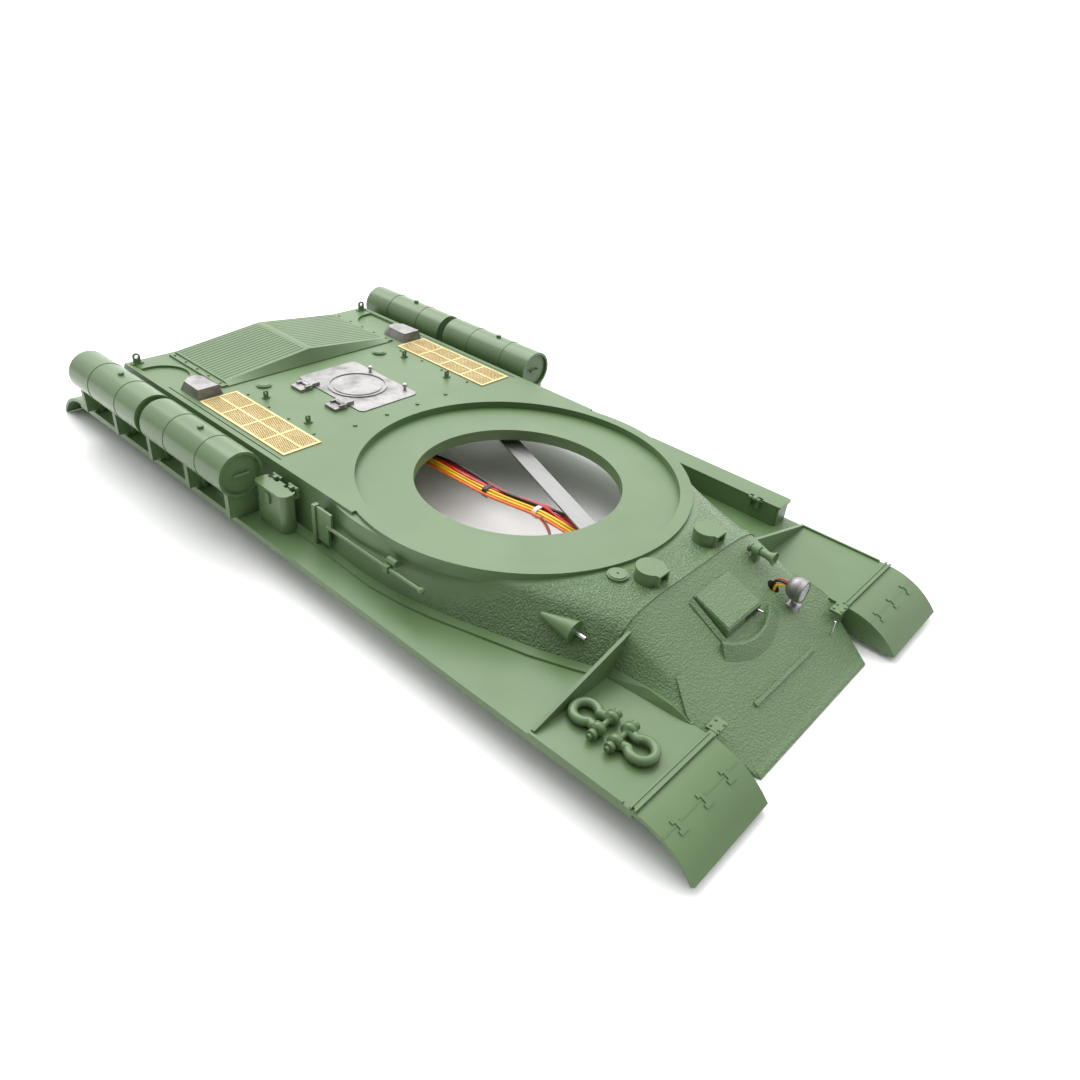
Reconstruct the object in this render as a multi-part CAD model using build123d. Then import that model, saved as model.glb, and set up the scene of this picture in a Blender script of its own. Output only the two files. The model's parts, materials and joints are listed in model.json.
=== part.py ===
"""Upper hull of a 1/16 radio-controlled heavy tank, as separate pieces.

Every piece is modelled about the centre of the turret ring at deck level: +X is the
vehicle's left, +Y its rear, +Z up. export() then moves it to the row's origin, which
is on the table, under the middle of the overall length. Sizes are in millimetres.
"""
import os
from math import asin, atan2, cos, degrees, hypot, radians, sin, tan

from build123d import *

# overall sizes
DECK_HEIGHT = 37.0          # deck above the table
FENDER_HALF = 96.0          # half the width over the fenders
FRONT_Y = -164.0            # tips of the front mudguards
REAR_Y = 248.0              # tips of the rear mudguards
DECK_REAR_Y = 207.0         # rear edge of the engine deck
FENDER_TOP = -22.0          # top face of the fenders
FENDER_T = 1.6
FENDER_REAR_Y = 224.0
WALL = 2.2                  # moulded wall of the hull
FIT = 0.2                   # gap round a plate that drops into a recess
RUN_FIT = 0.05              # radial clearance of a hinge pin
TOUCH_GAP = 0.3             # gap between a lid and what it closes on

# turret ring
COLLAR_R = 77.3
SEAT_R = 71.8
HOLE_R = 46.7
SEAT_DEPTH = 3.4
RING_ROOF_T = 5.0           # roof round the ring, thick enough to hold the seat
LIP_DEPTH = 5.5             # height of the wall of the hole
LIP_T = 2.0

# hull outline
DECK_HALF = 76.5
FOOT_HALF = 79.5
GLACIS_TOP_Y = -95.0
GLACIS_TOP_Z = -1.6
GLACIS_SLOPE = 29.5         # degrees from the deck
GLACIS_FOOT_Z = -28.0
GLACIS_SIDE_Y = -129.0
STRIP_Y = -139.0            # joint between fender and front mudguard
NOSE_Y = -156.5
NOSE_HALF = 42.4
NOSE_SHOULDER_HALF = 51.5
REAR_PLATE_RUN = 7.0        # how far the rear plate leans back down to the fenders
APRON_HALF = 50.0

# engine deck
HATCH_W = 36.0
HATCH_L = 52.5
HATCH_T = 1.6
HATCH_Y = 114.5
HATCH_RECESS = 1.2
HATCH_OPENING_MARGIN = 3.0
HINGE_PIN_R = 0.6
HINGE_AXIS_X = -21.4        # engine hatch hinge, on the vehicle's right
HINGE_AXIS_Z = 1.3
HINGE_SPACING = 28.0
GRILLE_IN_X = 51.0
GRILLE_OUT_X = 71.0
GRILLE_FRONT_Y = 75.0
GRILLE_REAR_Y = 144.0
GRILLE_T = 0.5
GRILLE_BAR = 1.2
GRILLE_CELLS = 4
LOUVRE_HALF = 51.0
LOUVRE_FRONT_Y = 155.0
LOUVRE_REAR_Y = 203.0
LOUVRE_EDGE_H = 1.6
LOUVRE_RIDGE_H = 7.2
LOUVRE_WALL = 1.2
LOUVRE_PITCH = 2.3
PAD_R = 14.0                # round recess beside each exhaust cover
PAD_X = 70.5
PAD_Y = 182.0
PAD_DEPTH = 1.2

# fuel drums
DRUM_R = 10.4
DRUM_X = 92.3
DRUM_Z = -1.3
DRUM_L = 66.0
DRUM_FRONT_Y = 74.0
DRUM_GAP = 5.0
DRUM_WALL = 1.2
CAP_RECESS = 1.4
CAP_T = 1.0
SADDLE_T = 3.0
SADDLE_HALF = 7.0
RACK_T = 1.6
POST_COUNT = 5

# stowage
RIGHT_BOX_IN_X = 80.2
RIGHT_BOX_OUT_X = 88.6
RIGHT_BOX_FRONT_Y = 50.5
RIGHT_BOX_L = 20.5
RIGHT_BOX_TOP = -3.2
LONG_BOX_IN_X = 83.0
LONG_BOX_OUT_X = 95.0
LONG_BOX_FRONT_Y = -87.5
LONG_BOX_L = 80.5
LONG_BOX_TOP = -11.4
BOX_WALL = 1.2
LID_T = 1.2
LID_LIP = 0.6
LID_PIN_R = 0.45
LID_KNUCKLE_R = 0.95

# underside
BOSS_X = 40.0
BOSS_FRONT_Y = -85.0
BOSS_REAR_Y = 192.0
BOSS_R = 3.2
BOSS_HOLE_R = 1.2
BOSS_HOLE_DEPTH = 9.0
STRAP_TOP = -12.0           # aluminium strap slung under the ring
STRAP_T = 1.0
STRAP_W = 9.0
LEAD_R = 0.55
LEAD_STEP = 1.35            # spacing of the leads in the bundle

ROW_SHIFT = Pos(0, -(FRONT_Y + REAR_Y) / 2, DECK_HEIGHT)


# ---------------------------------------------------------------- small helpers
def solids_of(piece):
    """The solids of a piece; a cut that leaves several bodies gives a plain list."""
    if isinstance(piece, list):
        return [solid for item in piece for solid in item.solids()]
    return list(piece.solids())


def group(pieces):
    return Compound([solid for piece in pieces for solid in solids_of(piece)])


def export(node, piece):
    whole = group([piece])
    export_step(ROW_SHIFT * whole, f"parts/{node}.step")
    print(node, len(whole.solids()), round(whole.volume, 1))


def block(x0, x1, y0, y1, z0, z1):
    centre = Pos((x0 + x1) / 2, (y0 + y1) / 2, (z0 + z1) / 2)
    return centre * Box(abs(x1 - x0), abs(y1 - y0), abs(z1 - z0))


def disc(x, y, z0, z1, radius):
    return Pos(x, y, (z0 + z1) / 2) * Cylinder(radius, abs(z1 - z0))


def rod_x(x0, x1, y, z, radius):
    return Pos((x0 + x1) / 2, y, z) * Rot(0, 90, 0) * Cylinder(radius, abs(x1 - x0))


def rod_y(x, y0, y1, z, radius):
    return Pos(x, (y0 + y1) / 2, z) * Rot(90, 0, 0) * Cylinder(radius, abs(y1 - y0))


def prism_x(points, x0, x1):
    """A (y, z) outline carried along X."""
    face = Plane.YZ.offset(x0) * make_face(Polyline(*points, close=True))
    return extrude(face, amount=x1 - x0, dir=(1, 0, 0))


def prism_y(points, y0, y1):
    """An (x, z) outline carried along Y."""
    face = Plane.XZ.offset(-y0) * make_face(Polyline(*points, close=True))
    return extrude(face, amount=y1 - y0, dir=(0, 1, 0))


def prism_z(points, z0, z1):
    """An (x, y) outline carried along Z."""
    face = Plane.XY.offset(z0) * make_face(Polyline(*points, close=True))
    return extrude(face, amount=z1 - z0, dir=(0, 0, 1))


def other_side(piece):
    return mirror(piece, Plane.YZ)


def both_sides(piece):
    whole = group([piece])
    return group([whole, other_side(whole)])


def glacis_z(y):
    """Height of the middle of the glacis at y."""
    return GLACIS_TOP_Z + (y - GLACIS_TOP_Y) * tan(radians(GLACIS_SLOPE))


# ---------------------------------------------------------------- hull
FRONT_ROWS = [      # y, half flat roof, its height, half shoulder, its height, half foot
    (30.0, 58.0, -1.0, 76.9, -1.6, 80.0),
    (0.0, 58.0, -1.2, 77.2, -1.9, 80.8),
    (-48.0, 40.0, -1.4, 61.5, -4.6, 71.0),
    (GLACIS_TOP_Y, 22.0, GLACIS_TOP_Z, 47.0, -8.6, 54.2),
]
GLACIS_ROWS = [
    (GLACIS_TOP_Y, 22.0, GLACIS_TOP_Z, 47.0, -8.6, 54.2),
    (-112.0, 28.0, glacis_z(-112.0), 46.5, -14.4, 53.0),
    (GLACIS_SIDE_Y, 36.0, glacis_z(GLACIS_SIDE_Y), 45.8, -21.3, 52.0),
]


def outer_section(row, foot_z):
    """Cross-section of the front hull: flat roof, rounded shoulder, leaning side."""
    y, flat, roof_z, shoulder, shoulder_z, foot = row
    lean = (shoulder - foot) / (shoulder_z - FENDER_TOP)
    knee = shoulder + lean * (roof_z - shoulder_z)
    side = [(foot, FENDER_TOP), (shoulder, shoulder_z)]
    if foot_z < FENDER_TOP:
        side.insert(0, (foot, foot_z))
    edges = [Line((-foot, foot_z), (foot, foot_z))]
    for a, b in zip(side, side[1:]):
        edges.append(Line(a, b))
        edges.append(Line((-a[0], a[1]), (-b[0], b[1])))
    edges.append(Bezier((shoulder, shoulder_z), (knee, roof_z), (flat, roof_z)))
    edges.append(Bezier((-shoulder, shoulder_z), (-knee, roof_z), (-flat, roof_z)))
    edges.append(Line((-flat, roof_z), (flat, roof_z)))
    return Plane.XZ.offset(-y) * make_face(edges)


def inner_section(row, y_shift, roof_t, foot_z):
    """The hollow under the same section: a trapezium one wall inside it."""
    y, flat, roof_z, shoulder, shoulder_z, foot = row
    top_z = min(roof_z - roof_t, shoulder_z - 1.0)
    share = (top_z - shoulder_z) / (FENDER_TOP - shoulder_z)
    top = shoulder + share * (foot - shoulder) - 1.3 * WALL
    low = foot - WALL
    corners = [(-low, foot_z), (low, foot_z), (top, top_z), (-top, top_z)]
    return Plane.XZ.offset(-y - y_shift) * make_face(Polyline(*corners, close=True))


def front_body():
    """Roof and sides from the turret ring to the top of the glacis."""
    return loft([outer_section(row, FENDER_TOP) for row in reversed(FRONT_ROWS)])


def front_hollow():
    shifts = [0.0, 0.0, 0.0, 1.0]
    rows = list(zip(FRONT_ROWS, shifts))
    return loft([inner_section(row, shift, RING_ROOF_T, FENDER_TOP - 1.0)
                 for row, shift in reversed(rows)])


def glacis_body():
    """Sloping front between the weld line and the fender joint."""
    return loft([outer_section(row, GLACIS_FOOT_Z) for row in reversed(GLACIS_ROWS)])


def glacis_hollow():
    rear_y = GLACIS_TOP_Y + WALL
    front_y = GLACIS_SIDE_Y + WALL
    half = NOSE_HALF + 0.5 * WALL
    low_z = GLACIS_FOOT_Z - 1.0
    return prism_x([(rear_y, -9.0), (front_y, -23.4), (front_y, low_z), (rear_y, low_z)],
                   -half, half)


def nose_plate(y0, y1, half):
    """A length of the sloping nose plate."""
    drop = WALL / cos(radians(GLACIS_SLOPE))
    outline = [(y0, glacis_z(y0)), (y1, glacis_z(y1)), (y1, glacis_z(y1) - drop),
               (y0, glacis_z(y0) - drop)]
    return prism_x(outline, -half, half)


def nose():
    tip_z = -DECK_HEIGHT
    lip_y = NOSE_Y + 3.4
    drop = WALL / cos(radians(GLACIS_SLOPE))
    inner_y = NOSE_Y + WALL
    lip = prism_x([(lip_y, glacis_z(lip_y)), (NOSE_Y + 0.9, glacis_z(NOSE_Y + 1.6)),
                   (NOSE_Y, glacis_z(NOSE_Y + 0.2)), (NOSE_Y, tip_z), (inner_y, tip_z),
                   (inner_y, glacis_z(inner_y) - 1.0), (lip_y, glacis_z(lip_y) - drop)],
                  -NOSE_HALF, NOSE_HALF)
    cheek_top_y = STRIP_Y + 8.0
    cheek = prism_x([(cheek_top_y, glacis_z(cheek_top_y) - 1.0), (NOSE_Y + 2.0,
                     glacis_z(NOSE_Y + 2.0) - 1.0), (NOSE_Y + 2.0, tip_z), (cheek_top_y, tip_z)],
                    NOSE_HALF - WALL, NOSE_HALF)
    shoulder = nose_plate(-118.0, STRIP_Y, NOSE_SHOULDER_HALF)
    corner = prism_z([(43.5, -117.0), (NOSE_SHOULDER_HALF + 0.1, GLACIS_SIDE_Y), (60.0, GLACIS_SIDE_Y),
                      (60.0, -117.0)], -30.0, -8.0)
    shoulder = shoulder - corner - other_side(corner)
    return (shoulder + nose_plate(STRIP_Y, lip_y, NOSE_HALF) + lip + cheek + other_side(cheek))


def rear_body():
    """Engine compartment: straight deck with leaning sides and a leaning rear plate."""
    across = prism_y([(-FOOT_HALF, FENDER_TOP), (FOOT_HALF, FENDER_TOP), (DECK_HALF, 0.0),
                      (-DECK_HALF, 0.0)], 20.0, DECK_REAR_Y + 2 * REAR_PLATE_RUN)
    along = prism_x([(20.0, 0.0), (DECK_REAR_Y, 0.0), (DECK_REAR_Y + REAR_PLATE_RUN, FENDER_TOP),
                     (20.0, FENDER_TOP)], -FENDER_HALF, FENDER_HALF)
    return across & along


def rear_hollow():
    """Space under the engine deck; its roof is lower beside the turret ring."""
    low_z = FENDER_TOP - 1.0
    foot = FOOT_HALF - WALL
    top = DECK_HALF - WALL
    end = DECK_REAR_Y - WALL
    across = prism_y([(-foot, low_z), (foot, low_z), (top, -WALL), (-top, -WALL)], 10.0, REAR_Y)
    along = prism_x([(10.0, -RING_ROOF_T - 1.0), (COLLAR_R, -RING_ROOF_T - 1.0),
                     (COLLAR_R, -WALL), (end, -WALL), (end + REAR_PLATE_RUN, low_z),
                     (10.0, low_z)], -FENDER_HALF, FENDER_HALF)
    return across & along


def rear_apron():
    """Lower half of the rear plate, between the rear mudguards."""
    fall = REAR_PLATE_RUN / -FENDER_TOP
    top_z = FENDER_TOP + 2.0
    foot_z = -DECK_HEIGHT
    outline = [(DECK_REAR_Y - fall * top_z - WALL, top_z), (DECK_REAR_Y - fall * top_z, top_z),
               (DECK_REAR_Y - fall * foot_z, foot_z), (DECK_REAR_Y - fall * foot_z - WALL, foot_z)]
    return prism_x(outline, -APRON_HALF, APRON_HALF)


def outer_hull():
    return rear_body() + front_body() + glacis_body() + disc(0, 0, -6.0, 0.0, COLLAR_R)


def grille_opening():
    margin = GRILLE_BAR
    y0 = GRILLE_FRONT_Y + margin
    y1 = GRILLE_REAR_Y - margin
    slot = block(GRILLE_IN_X + margin, GRILLE_OUT_X - margin, y0, y1, -2 * WALL, 1.0)
    mid = (y0 + y1) / 2
    return slot - block(GRILLE_IN_X, GRILLE_OUT_X, mid - 1.0, mid + 1.0, -2 * WALL, 1.0)


def hull_shell(outer):
    shell = outer - rear_hollow() - front_hollow() - glacis_hollow()
    lip_z = -SEAT_DEPTH - LIP_DEPTH
    shell += nose() + rear_apron() + disc(0, 0, lip_z, -SEAT_DEPTH - 1.0, HOLE_R + LIP_T)
    for x, y in STRAP_ENDS:
        shell += disc(x, y, STRAP_TOP, -SEAT_DEPTH - 1.0, BOSS_R)
    shell += block(*LEAD_CLIP_BOX)
    for x in (-BOSS_X, BOSS_X):
        shell += disc(x, BOSS_FRONT_Y, FENDER_TOP, -5.4, BOSS_R)
        shell += disc(x, BOSS_REAR_Y, FENDER_TOP, -1.0, BOSS_R)
    shell -= disc(0, 0, -SEAT_DEPTH, 1.0, SEAT_R) + disc(0, 0, 2 * lip_z, 1.0, HOLE_R)
    for x in (-BOSS_X, BOSS_X):
        for y in (BOSS_FRONT_Y, BOSS_REAR_Y):
            shell -= disc(x, y, FENDER_TOP - 1.0, FENDER_TOP + BOSS_HOLE_DEPTH, BOSS_HOLE_R)
    for x, y in STRAP_ENDS:
        shell -= disc(x, y, STRAP_TOP - 1.0, STRAP_TOP + SCREW_DEPTH, SCREW_R)
    half_w = HATCH_W / 2 + FIT
    half_l = HATCH_L / 2 + FIT
    shell -= rounded_plate(half_w, half_l, 3.0 + FIT, -HATCH_RECESS, 1.0, HATCH_Y)
    shell -= rounded_plate(half_w - HATCH_OPENING_MARGIN, half_l - HATCH_OPENING_MARGIN, 2.0,
                           -2 * WALL, 1.0, HATCH_Y)
    slots = grille_opening()
    pad = disc(PAD_X, PAD_Y, -PAD_DEPTH, 1.0, PAD_R) & block(0, DECK_HALF - 3.0, 0, REAR_Y, -5, 5)
    groove = block(DECK_HALF - 3.2, DECK_HALF - 2.6, GRILLE_FRONT_Y - 2, DECK_REAR_Y - 3, -0.5, 1)
    for cut in (slots, pad, groove):
        shell -= cut + other_side(cut)
    shell -= disc(*LAMP_LEAD_HOLE, -30.0, 0.0, 2.6)
    return shell


def rounded_plate(half_w, half_l, corner, z0, z1, y, x=0.0):
    outline = Pos(x, y, z0) * RectangleRounded(2 * half_w, 2 * half_l, corner)
    return extrude(outline, amount=z1 - z0, dir=(0, 0, 1))


# ---------------------------------------------------------------- fenders
FOOT_LINE = [(79.5, 207.0), (79.5, 45.0), (80.8, 0.0), (78.8, -17.0), (75.8, -31.0),
             (70.8, -48.0), (64.3, -70.0), (58.4, -85.0), (54.2, -94.8)]
FENDER_INSET = 5.0          # how far a fender reaches in under the hull wall
SEAM = 0.2                  # joint between the glacis side and the fender


def fender(outer):
    """Left fender: plate with a turned-down edge, a bead and a cross gusset."""
    inner = [(x - FENDER_INSET, y) for x, y in FOOT_LINE[:-1]]
    plan = [(APRON_HALF + 2.0, FENDER_REAR_Y), (APRON_HALF + 2.0, DECK_REAR_Y - 4.0), *inner,
            (NOSE_SHOULDER_HALF + SEAM, FOOT_LINE[-1][1]), (NOSE_SHOULDER_HALF + SEAM, STRIP_Y),
            (FENDER_HALF, STRIP_Y), (FENDER_HALF, FENDER_REAR_Y)]
    plate = prism_z(plan, FENDER_TOP - FENDER_T, FENDER_TOP)
    skirt = block(FENDER_HALF - 1.2, FENDER_HALF, STRIP_Y, FENDER_REAR_Y, FENDER_TOP - 3.2,
                  FENDER_TOP)
    bead = block(FENDER_HALF - 1.0, FENDER_HALF, STRIP_Y + 4.0, GUSSET_Y, FENDER_TOP,
                 FENDER_TOP + 0.8)
    cut = outer + glacis_room()
    return plate - cut + skirt + bead


def glacis_room():
    """The glacis side with the seam round it, as far down as the fender reaches."""
    return block(-54.4, 54.4, STRIP_Y - 1.0, GLACIS_TOP_Y, GLACIS_FOOT_Z, 0.0) & prism_z(
        [(-54.4, GLACIS_TOP_Y), (54.4, GLACIS_TOP_Y), (53.3, -112.0), (52.3, GLACIS_SIDE_Y),
         (51.7, STRIP_Y - 1.0), (-51.7, STRIP_Y - 1.0), (-52.3, GLACIS_SIDE_Y), (-53.3, -112.0)],
        GLACIS_FOOT_Z, 0.0)


GUSSET_Y = -96.0
GUSSET_T = 1.4


def gusset(outer):
    """Triangular web across the left fender, up to the hull's shoulder."""
    y, flat, roof_z, shoulder, shoulder_z, foot = GLACIS_ROWS[0]
    edge = FENDER_HALF - 1.4
    outline = [(shoulder - 10.0, FENDER_TOP), (shoulder - 10.0, -4.6),
               (shoulder + 0.8, shoulder_z + 0.9), (edge, FENDER_TOP + 1.2), (edge, FENDER_TOP)]
    return prism_y(outline, GUSSET_Y - GUSSET_T, GUSSET_Y) - outer


def arched_guard(y0, z0, y1, z1, x_in0, x_in1, x_out):
    """Curved mudguard: level at (y0, z0), bending down to (y1, z1), with an inner web."""
    run = abs(y1 - y0)
    fall = z0 - z1
    radius = (run * run + fall * fall) / (2 * fall)
    swing = asin(run / radius)
    way = 1 if y1 > y0 else -1

    def at(angle, r):
        return (y0 + way * r * sin(angle), z0 - radius + r * cos(angle))

    outer_arc = ThreePointArc(at(0, radius), at(swing / 2, radius), at(swing, radius))
    inner_r = radius - FENDER_T
    inner_arc = ThreePointArc(at(0, inner_r), at(swing / 2, inner_r), at(swing, inner_r))
    edges = [outer_arc, Line(at(swing, radius), at(swing, inner_r)), inner_arc,
             Line(at(0, inner_r), at(0, radius))]
    sheet = extrude(Plane.YZ.offset(x_in0) * make_face(edges), amount=x_out - x_in0,
                    dir=(1, 0, 0))
    web_edges = [inner_arc, Line(at(swing, inner_r), (y0, z1)), Line((y0, z1), at(0, inner_r))]
    web = extrude(Plane.YZ.offset(x_in1) * make_face(web_edges), amount=1.2, dir=(1, 0, 0))
    slant = prism_z([(x_in0 - 1, y0), (x_in0, y0), (x_in1, y1), (x_in1, y1 + way * 3),
                     (x_in0 - 1, y1 + way * 3)], z1 - 5, z0 + 5)
    return sheet - slant + web


def front_mudguard():
    return arched_guard(STRIP_Y, FENDER_TOP, FRONT_Y, -33.8, NOSE_SHOULDER_HALF + SEAM,
                        NOSE_SHOULDER_HALF + SEAM + 0.6, FENDER_HALF)


def rear_mudguard():
    return arched_guard(FENDER_REAR_Y, FENDER_TOP, REAR_Y, -36.0, APRON_HALF + 2.0,
                        APRON_HALF + 4.0, FENDER_HALF)


def joint_strip():
    """Raised strip over the joint of fender and mudguard."""
    strip = block(NOSE_HALF + 1.2, FENDER_HALF - 1.0, STRIP_Y - 1.2, STRIP_Y + 1.6, FENDER_TOP,
                  FENDER_TOP + 0.9)
    tab = block(NOSE_HALF + 1.2, NOSE_HALF + 8.0, STRIP_Y - 1.6, STRIP_Y + 3.4, FENDER_TOP,
                FENDER_TOP + 1.1)
    return strip + tab


# ---------------------------------------------------------------- engine hatch
def hatch_lug_rows():
    return [HATCH_Y - HINGE_SPACING / 2, HATCH_Y + HINGE_SPACING / 2]


LUG_L = 5.0
LUG_R = 1.25


def engine_hatch():
    """Cast plate with an embossed round cover and two hinge lugs."""
    top = HATCH_T - HATCH_RECESS
    plate = rounded_plate(HATCH_W / 2, HATCH_L / 2, 3.0, -HATCH_RECESS, top, HATCH_Y)
    rim = disc(0, HATCH_Y, top, top + 0.5, 15.2) - disc(0, HATCH_Y, top, top + 0.5, 14.2)
    boss = disc(0, HATCH_Y, top, top + 0.35, 12.6)
    for y in hatch_lug_rows():
        arm = block(HINGE_AXIS_X, -HATCH_W / 2 + 3.0, y - LUG_L / 2, y + LUG_L / 2, top,
                    HINGE_AXIS_Z + 0.7)
        barrel = rod_y(HINGE_AXIS_X, y - LUG_L / 2, y + LUG_L / 2, HINGE_AXIS_Z, LUG_R)
        plate += arm + barrel
        plate -= rod_y(HINGE_AXIS_X, y - LUG_L, y + LUG_L, HINGE_AXIS_Z, HINGE_PIN_R + RUN_FIT)
    return plate + rim + boss


def hinge_blocks():
    """Fixed hinge feet on the deck, one fork round each lug."""
    feet = []
    for y in hatch_lug_rows():
        reach = LUG_L / 2 + TOUCH_GAP
        foot = block(HINGE_AXIS_X - 6.2, HINGE_AXIS_X - LUG_R - 0.5, y - reach - 1.4,
                     y + reach + 1.4, 0.0, 1.5)
        for side in (-1, 1):
            y0 = y + side * reach
            y1 = y0 + side * 1.4
            foot += block(HINGE_AXIS_X - 3.0, HINGE_AXIS_X + 1.1, min(y0, y1), max(y0, y1), 0.0,
                          HINGE_AXIS_Z + 1.1)
        foot -= rod_y(HINGE_AXIS_X, y - LUG_L, y + LUG_L, HINGE_AXIS_Z, HINGE_PIN_R)
        feet.append(foot)
    return group(feet)


def hinge_pins():
    reach = LUG_L / 2 + TOUCH_GAP + 1.4
    return group([rod_y(HINGE_AXIS_X, y - reach, y + reach, HINGE_AXIS_Z, HINGE_PIN_R)
                  for y in hatch_lug_rows()])


def hatch_knobs():
    """Domed locking studs at the hatch's free edge."""
    top = HATCH_T - HATCH_RECESS
    knobs = []
    for y in hatch_lug_rows():
        stem = disc(HATCH_W / 2 - 1.8, y - 4.0, top, top + 1.4, 0.8)
        head = Pos(HATCH_W / 2 - 1.8, y - 4.0, top + 1.9) * Sphere(1.3)
        knobs.append(stem + head)
    return group(knobs)


# ---------------------------------------------------------------- deck fittings
def grille_frame():
    """Etched frame with a middle bar and cross bars, left side."""
    frame = block(GRILLE_IN_X, GRILLE_OUT_X, GRILLE_FRONT_Y, GRILLE_REAR_Y, 0.0, GRILLE_T)
    return frame - group(grille_windows(0.0, 2 * GRILLE_T))


def grille_windows(z0, z1, trim=0.0):
    windows = []
    mid_x = (GRILLE_IN_X + GRILLE_OUT_X) / 2
    pitch = (GRILLE_REAR_Y - GRILLE_FRONT_Y - GRILLE_BAR) / GRILLE_CELLS
    for x0, x1 in ((GRILLE_IN_X + GRILLE_BAR, mid_x - GRILLE_BAR / 2),
                   (mid_x + GRILLE_BAR / 2, GRILLE_OUT_X - GRILLE_BAR)):
        for row in range(GRILLE_CELLS):
            y0 = GRILLE_FRONT_Y + GRILLE_BAR + row * pitch
            y1 = y0 + pitch - GRILLE_BAR
            windows.append(block(x0 + trim, x1 - trim, y0 + trim, y1 - trim, z0, z1))
    return windows


def grille_mesh():
    """Woven mesh in the windows, as thin panels the size of each window."""
    return group(grille_windows(0.1, 0.3))


def louvre_outline(side, inset=0.0):
    half = LOUVRE_HALF - inset
    edge = LOUVRE_EDGE_H - inset
    ridge = LOUVRE_RIDGE_H - inset
    return [(-half, 0.0), (half, 0.0), (half, edge), (0.0, ridge), (-half, edge)]


def louvre_cover():
    """Peaked cover with slots across it; its front face slopes down to the deck."""
    body = prism_y(louvre_outline(0), LOUVRE_FRONT_Y, LOUVRE_REAR_Y)
    low = [(-LOUVRE_HALF, 0.0), (LOUVRE_HALF, 0.0), (LOUVRE_HALF, 0.5), (0.0, 0.7),
           (-LOUVRE_HALF, 0.5)]
    rear_face = Plane.XZ.offset(-LOUVRE_FRONT_Y) * make_face(
        Polyline(*louvre_outline(0), close=True))
    front_face = Plane.XZ.offset(3.6 - LOUVRE_FRONT_Y) * make_face(Polyline(*low, close=True))
    body += loft([rear_face, front_face], ruled=True)
    hollow = [(-LOUVRE_HALF + 3.0, -0.1), (LOUVRE_HALF - 3.0, -0.1),
              (LOUVRE_HALF - 3.0, LOUVRE_EDGE_H - LOUVRE_WALL + 0.3),
              (0.0, LOUVRE_RIDGE_H - LOUVRE_WALL), (-LOUVRE_HALF + 3.0, LOUVRE_EDGE_H
                                                    - LOUVRE_WALL + 0.3)]
    return body - prism_y(hollow, LOUVRE_FRONT_Y + 2.0, LOUVRE_REAR_Y - 2.0)


def louvre_frames():
    """Flat bolted straps along the two low sides of the cover."""
    return both_sides(block(LOUVRE_HALF, LOUVRE_HALF + 3.4, LOUVRE_FRONT_Y - 3.0, LOUVRE_REAR_Y,
                            0.0, 0.9))


def exhaust_cover():
    """Cast cover over the left exhaust outlet: blunt front, falling towards the rear."""
    y0 = 141.0 + 5.0
    y1 = 167.0
    base = Polyline((57.2, y0), (70.8, y0), (70.8, y1 - 5), (66.0, y1), (60.5, y1), (57.2, y1 - 4),
                    close=True)
    top = Polyline((58.8, y0 + 0.8), (69.6, y0 + 0.8), (69.2, y1 - 7), (65.4, y1 - 3.5),
                   (61.4, y1 - 3.5), (59.2, y1 - 6.5), close=True)
    return loft([make_face(base), Plane.XY.offset(4.8) * make_face(top)], ruled=True)


def filler_caps():
    return both_sides(disc(36.8, 142.5, 0.0, 0.9, 3.8) + disc(36.8, 142.5, 0.9, 1.2, 2.8))


def eye_plate(x, y, width, height, thick, hole):
    """Upright eye on a small foot."""
    web = block(x - width / 2, x + width / 2, y - thick / 2, y + thick / 2, 0.0,
                height - width / 2)
    web += rod_y(x, y - thick / 2, y + thick / 2, height - width / 2, width / 2)
    web += block(x - width * 0.8, x + width * 0.8, y - thick, y + thick, 0.0, 0.6)
    return web - rod_y(x, y - thick, y + thick, height - width / 2, hole)


def lifting_eyes():
    return both_sides(eye_plate(71.7, 203.0, 3.6, 5.6, 1.4, 1.1))


def deck_hooks():
    return group([both_sides(eye_plate(44.0, y, 2.2, 4.0, 1.1, 0.65)) for y in (95.0, 129.5)])


def round_head(x, y, z, radius, height):
    return disc(x, y, z, z + height, radius)


def deck_screws():
    return group([round_head(x, 79.4, 0.0, 1.0, 0.6) for x in (-28.8, -9.7, 9.7, 28.8)])


def deck_bolts():
    """Small bolt heads beside the grilles, on the cover straps and on the rear edge."""
    heads = []
    for y in (84.0, 104.0, 120.0, 138.0):
        heads.append(round_head(GRILLE_IN_X - 2.4, y, 0.0, 0.65, 0.5))
    for y in (156.0, 167.0, 178.0, 189.0, 200.0):
        heads.append(round_head(LOUVRE_HALF + 1.7, y, 0.9, 0.6, 0.5))
    for x in (16.0, 33.0):
        heads.append(round_head(x, DECK_REAR_Y - 1.6, 0.0, 0.8, 0.7))
    return both_sides(group(heads))


# ---------------------------------------------------------------- front fittings
PERISCOPE_X = 20.0
PERISCOPE_Y = -86.2
PERISCOPE_H = 5.4


def periscope_hoods(outer):
    hood = disc(PERISCOPE_X, PERISCOPE_Y, -4.0, PERISCOPE_H - 1.4, 5.9)
    hood += block(PERISCOPE_X - 3.4, PERISCOPE_X + 3.4, PERISCOPE_Y - 6.4, PERISCOPE_Y, -4.0,
                  PERISCOPE_H - 1.4)
    hood -= block(PERISCOPE_X - 2.5, PERISCOPE_X + 2.5, PERISCOPE_Y - 8.0, PERISCOPE_Y - 3.4,
                  0.0, PERISCOPE_H - 2.2)
    return both_sides(hood - outer)


VENT_AT = (-27.9, -77.2)


def vent_disc(outer):
    x, y = VENT_AT
    flange = disc(x, y, -4.0, -0.6, 4.2)
    dome = disc(x, y, -0.6, -0.2, 3.5)
    return flange + dome - disc(x, y, -0.6, 0.0, 0.5) - outer


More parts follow.
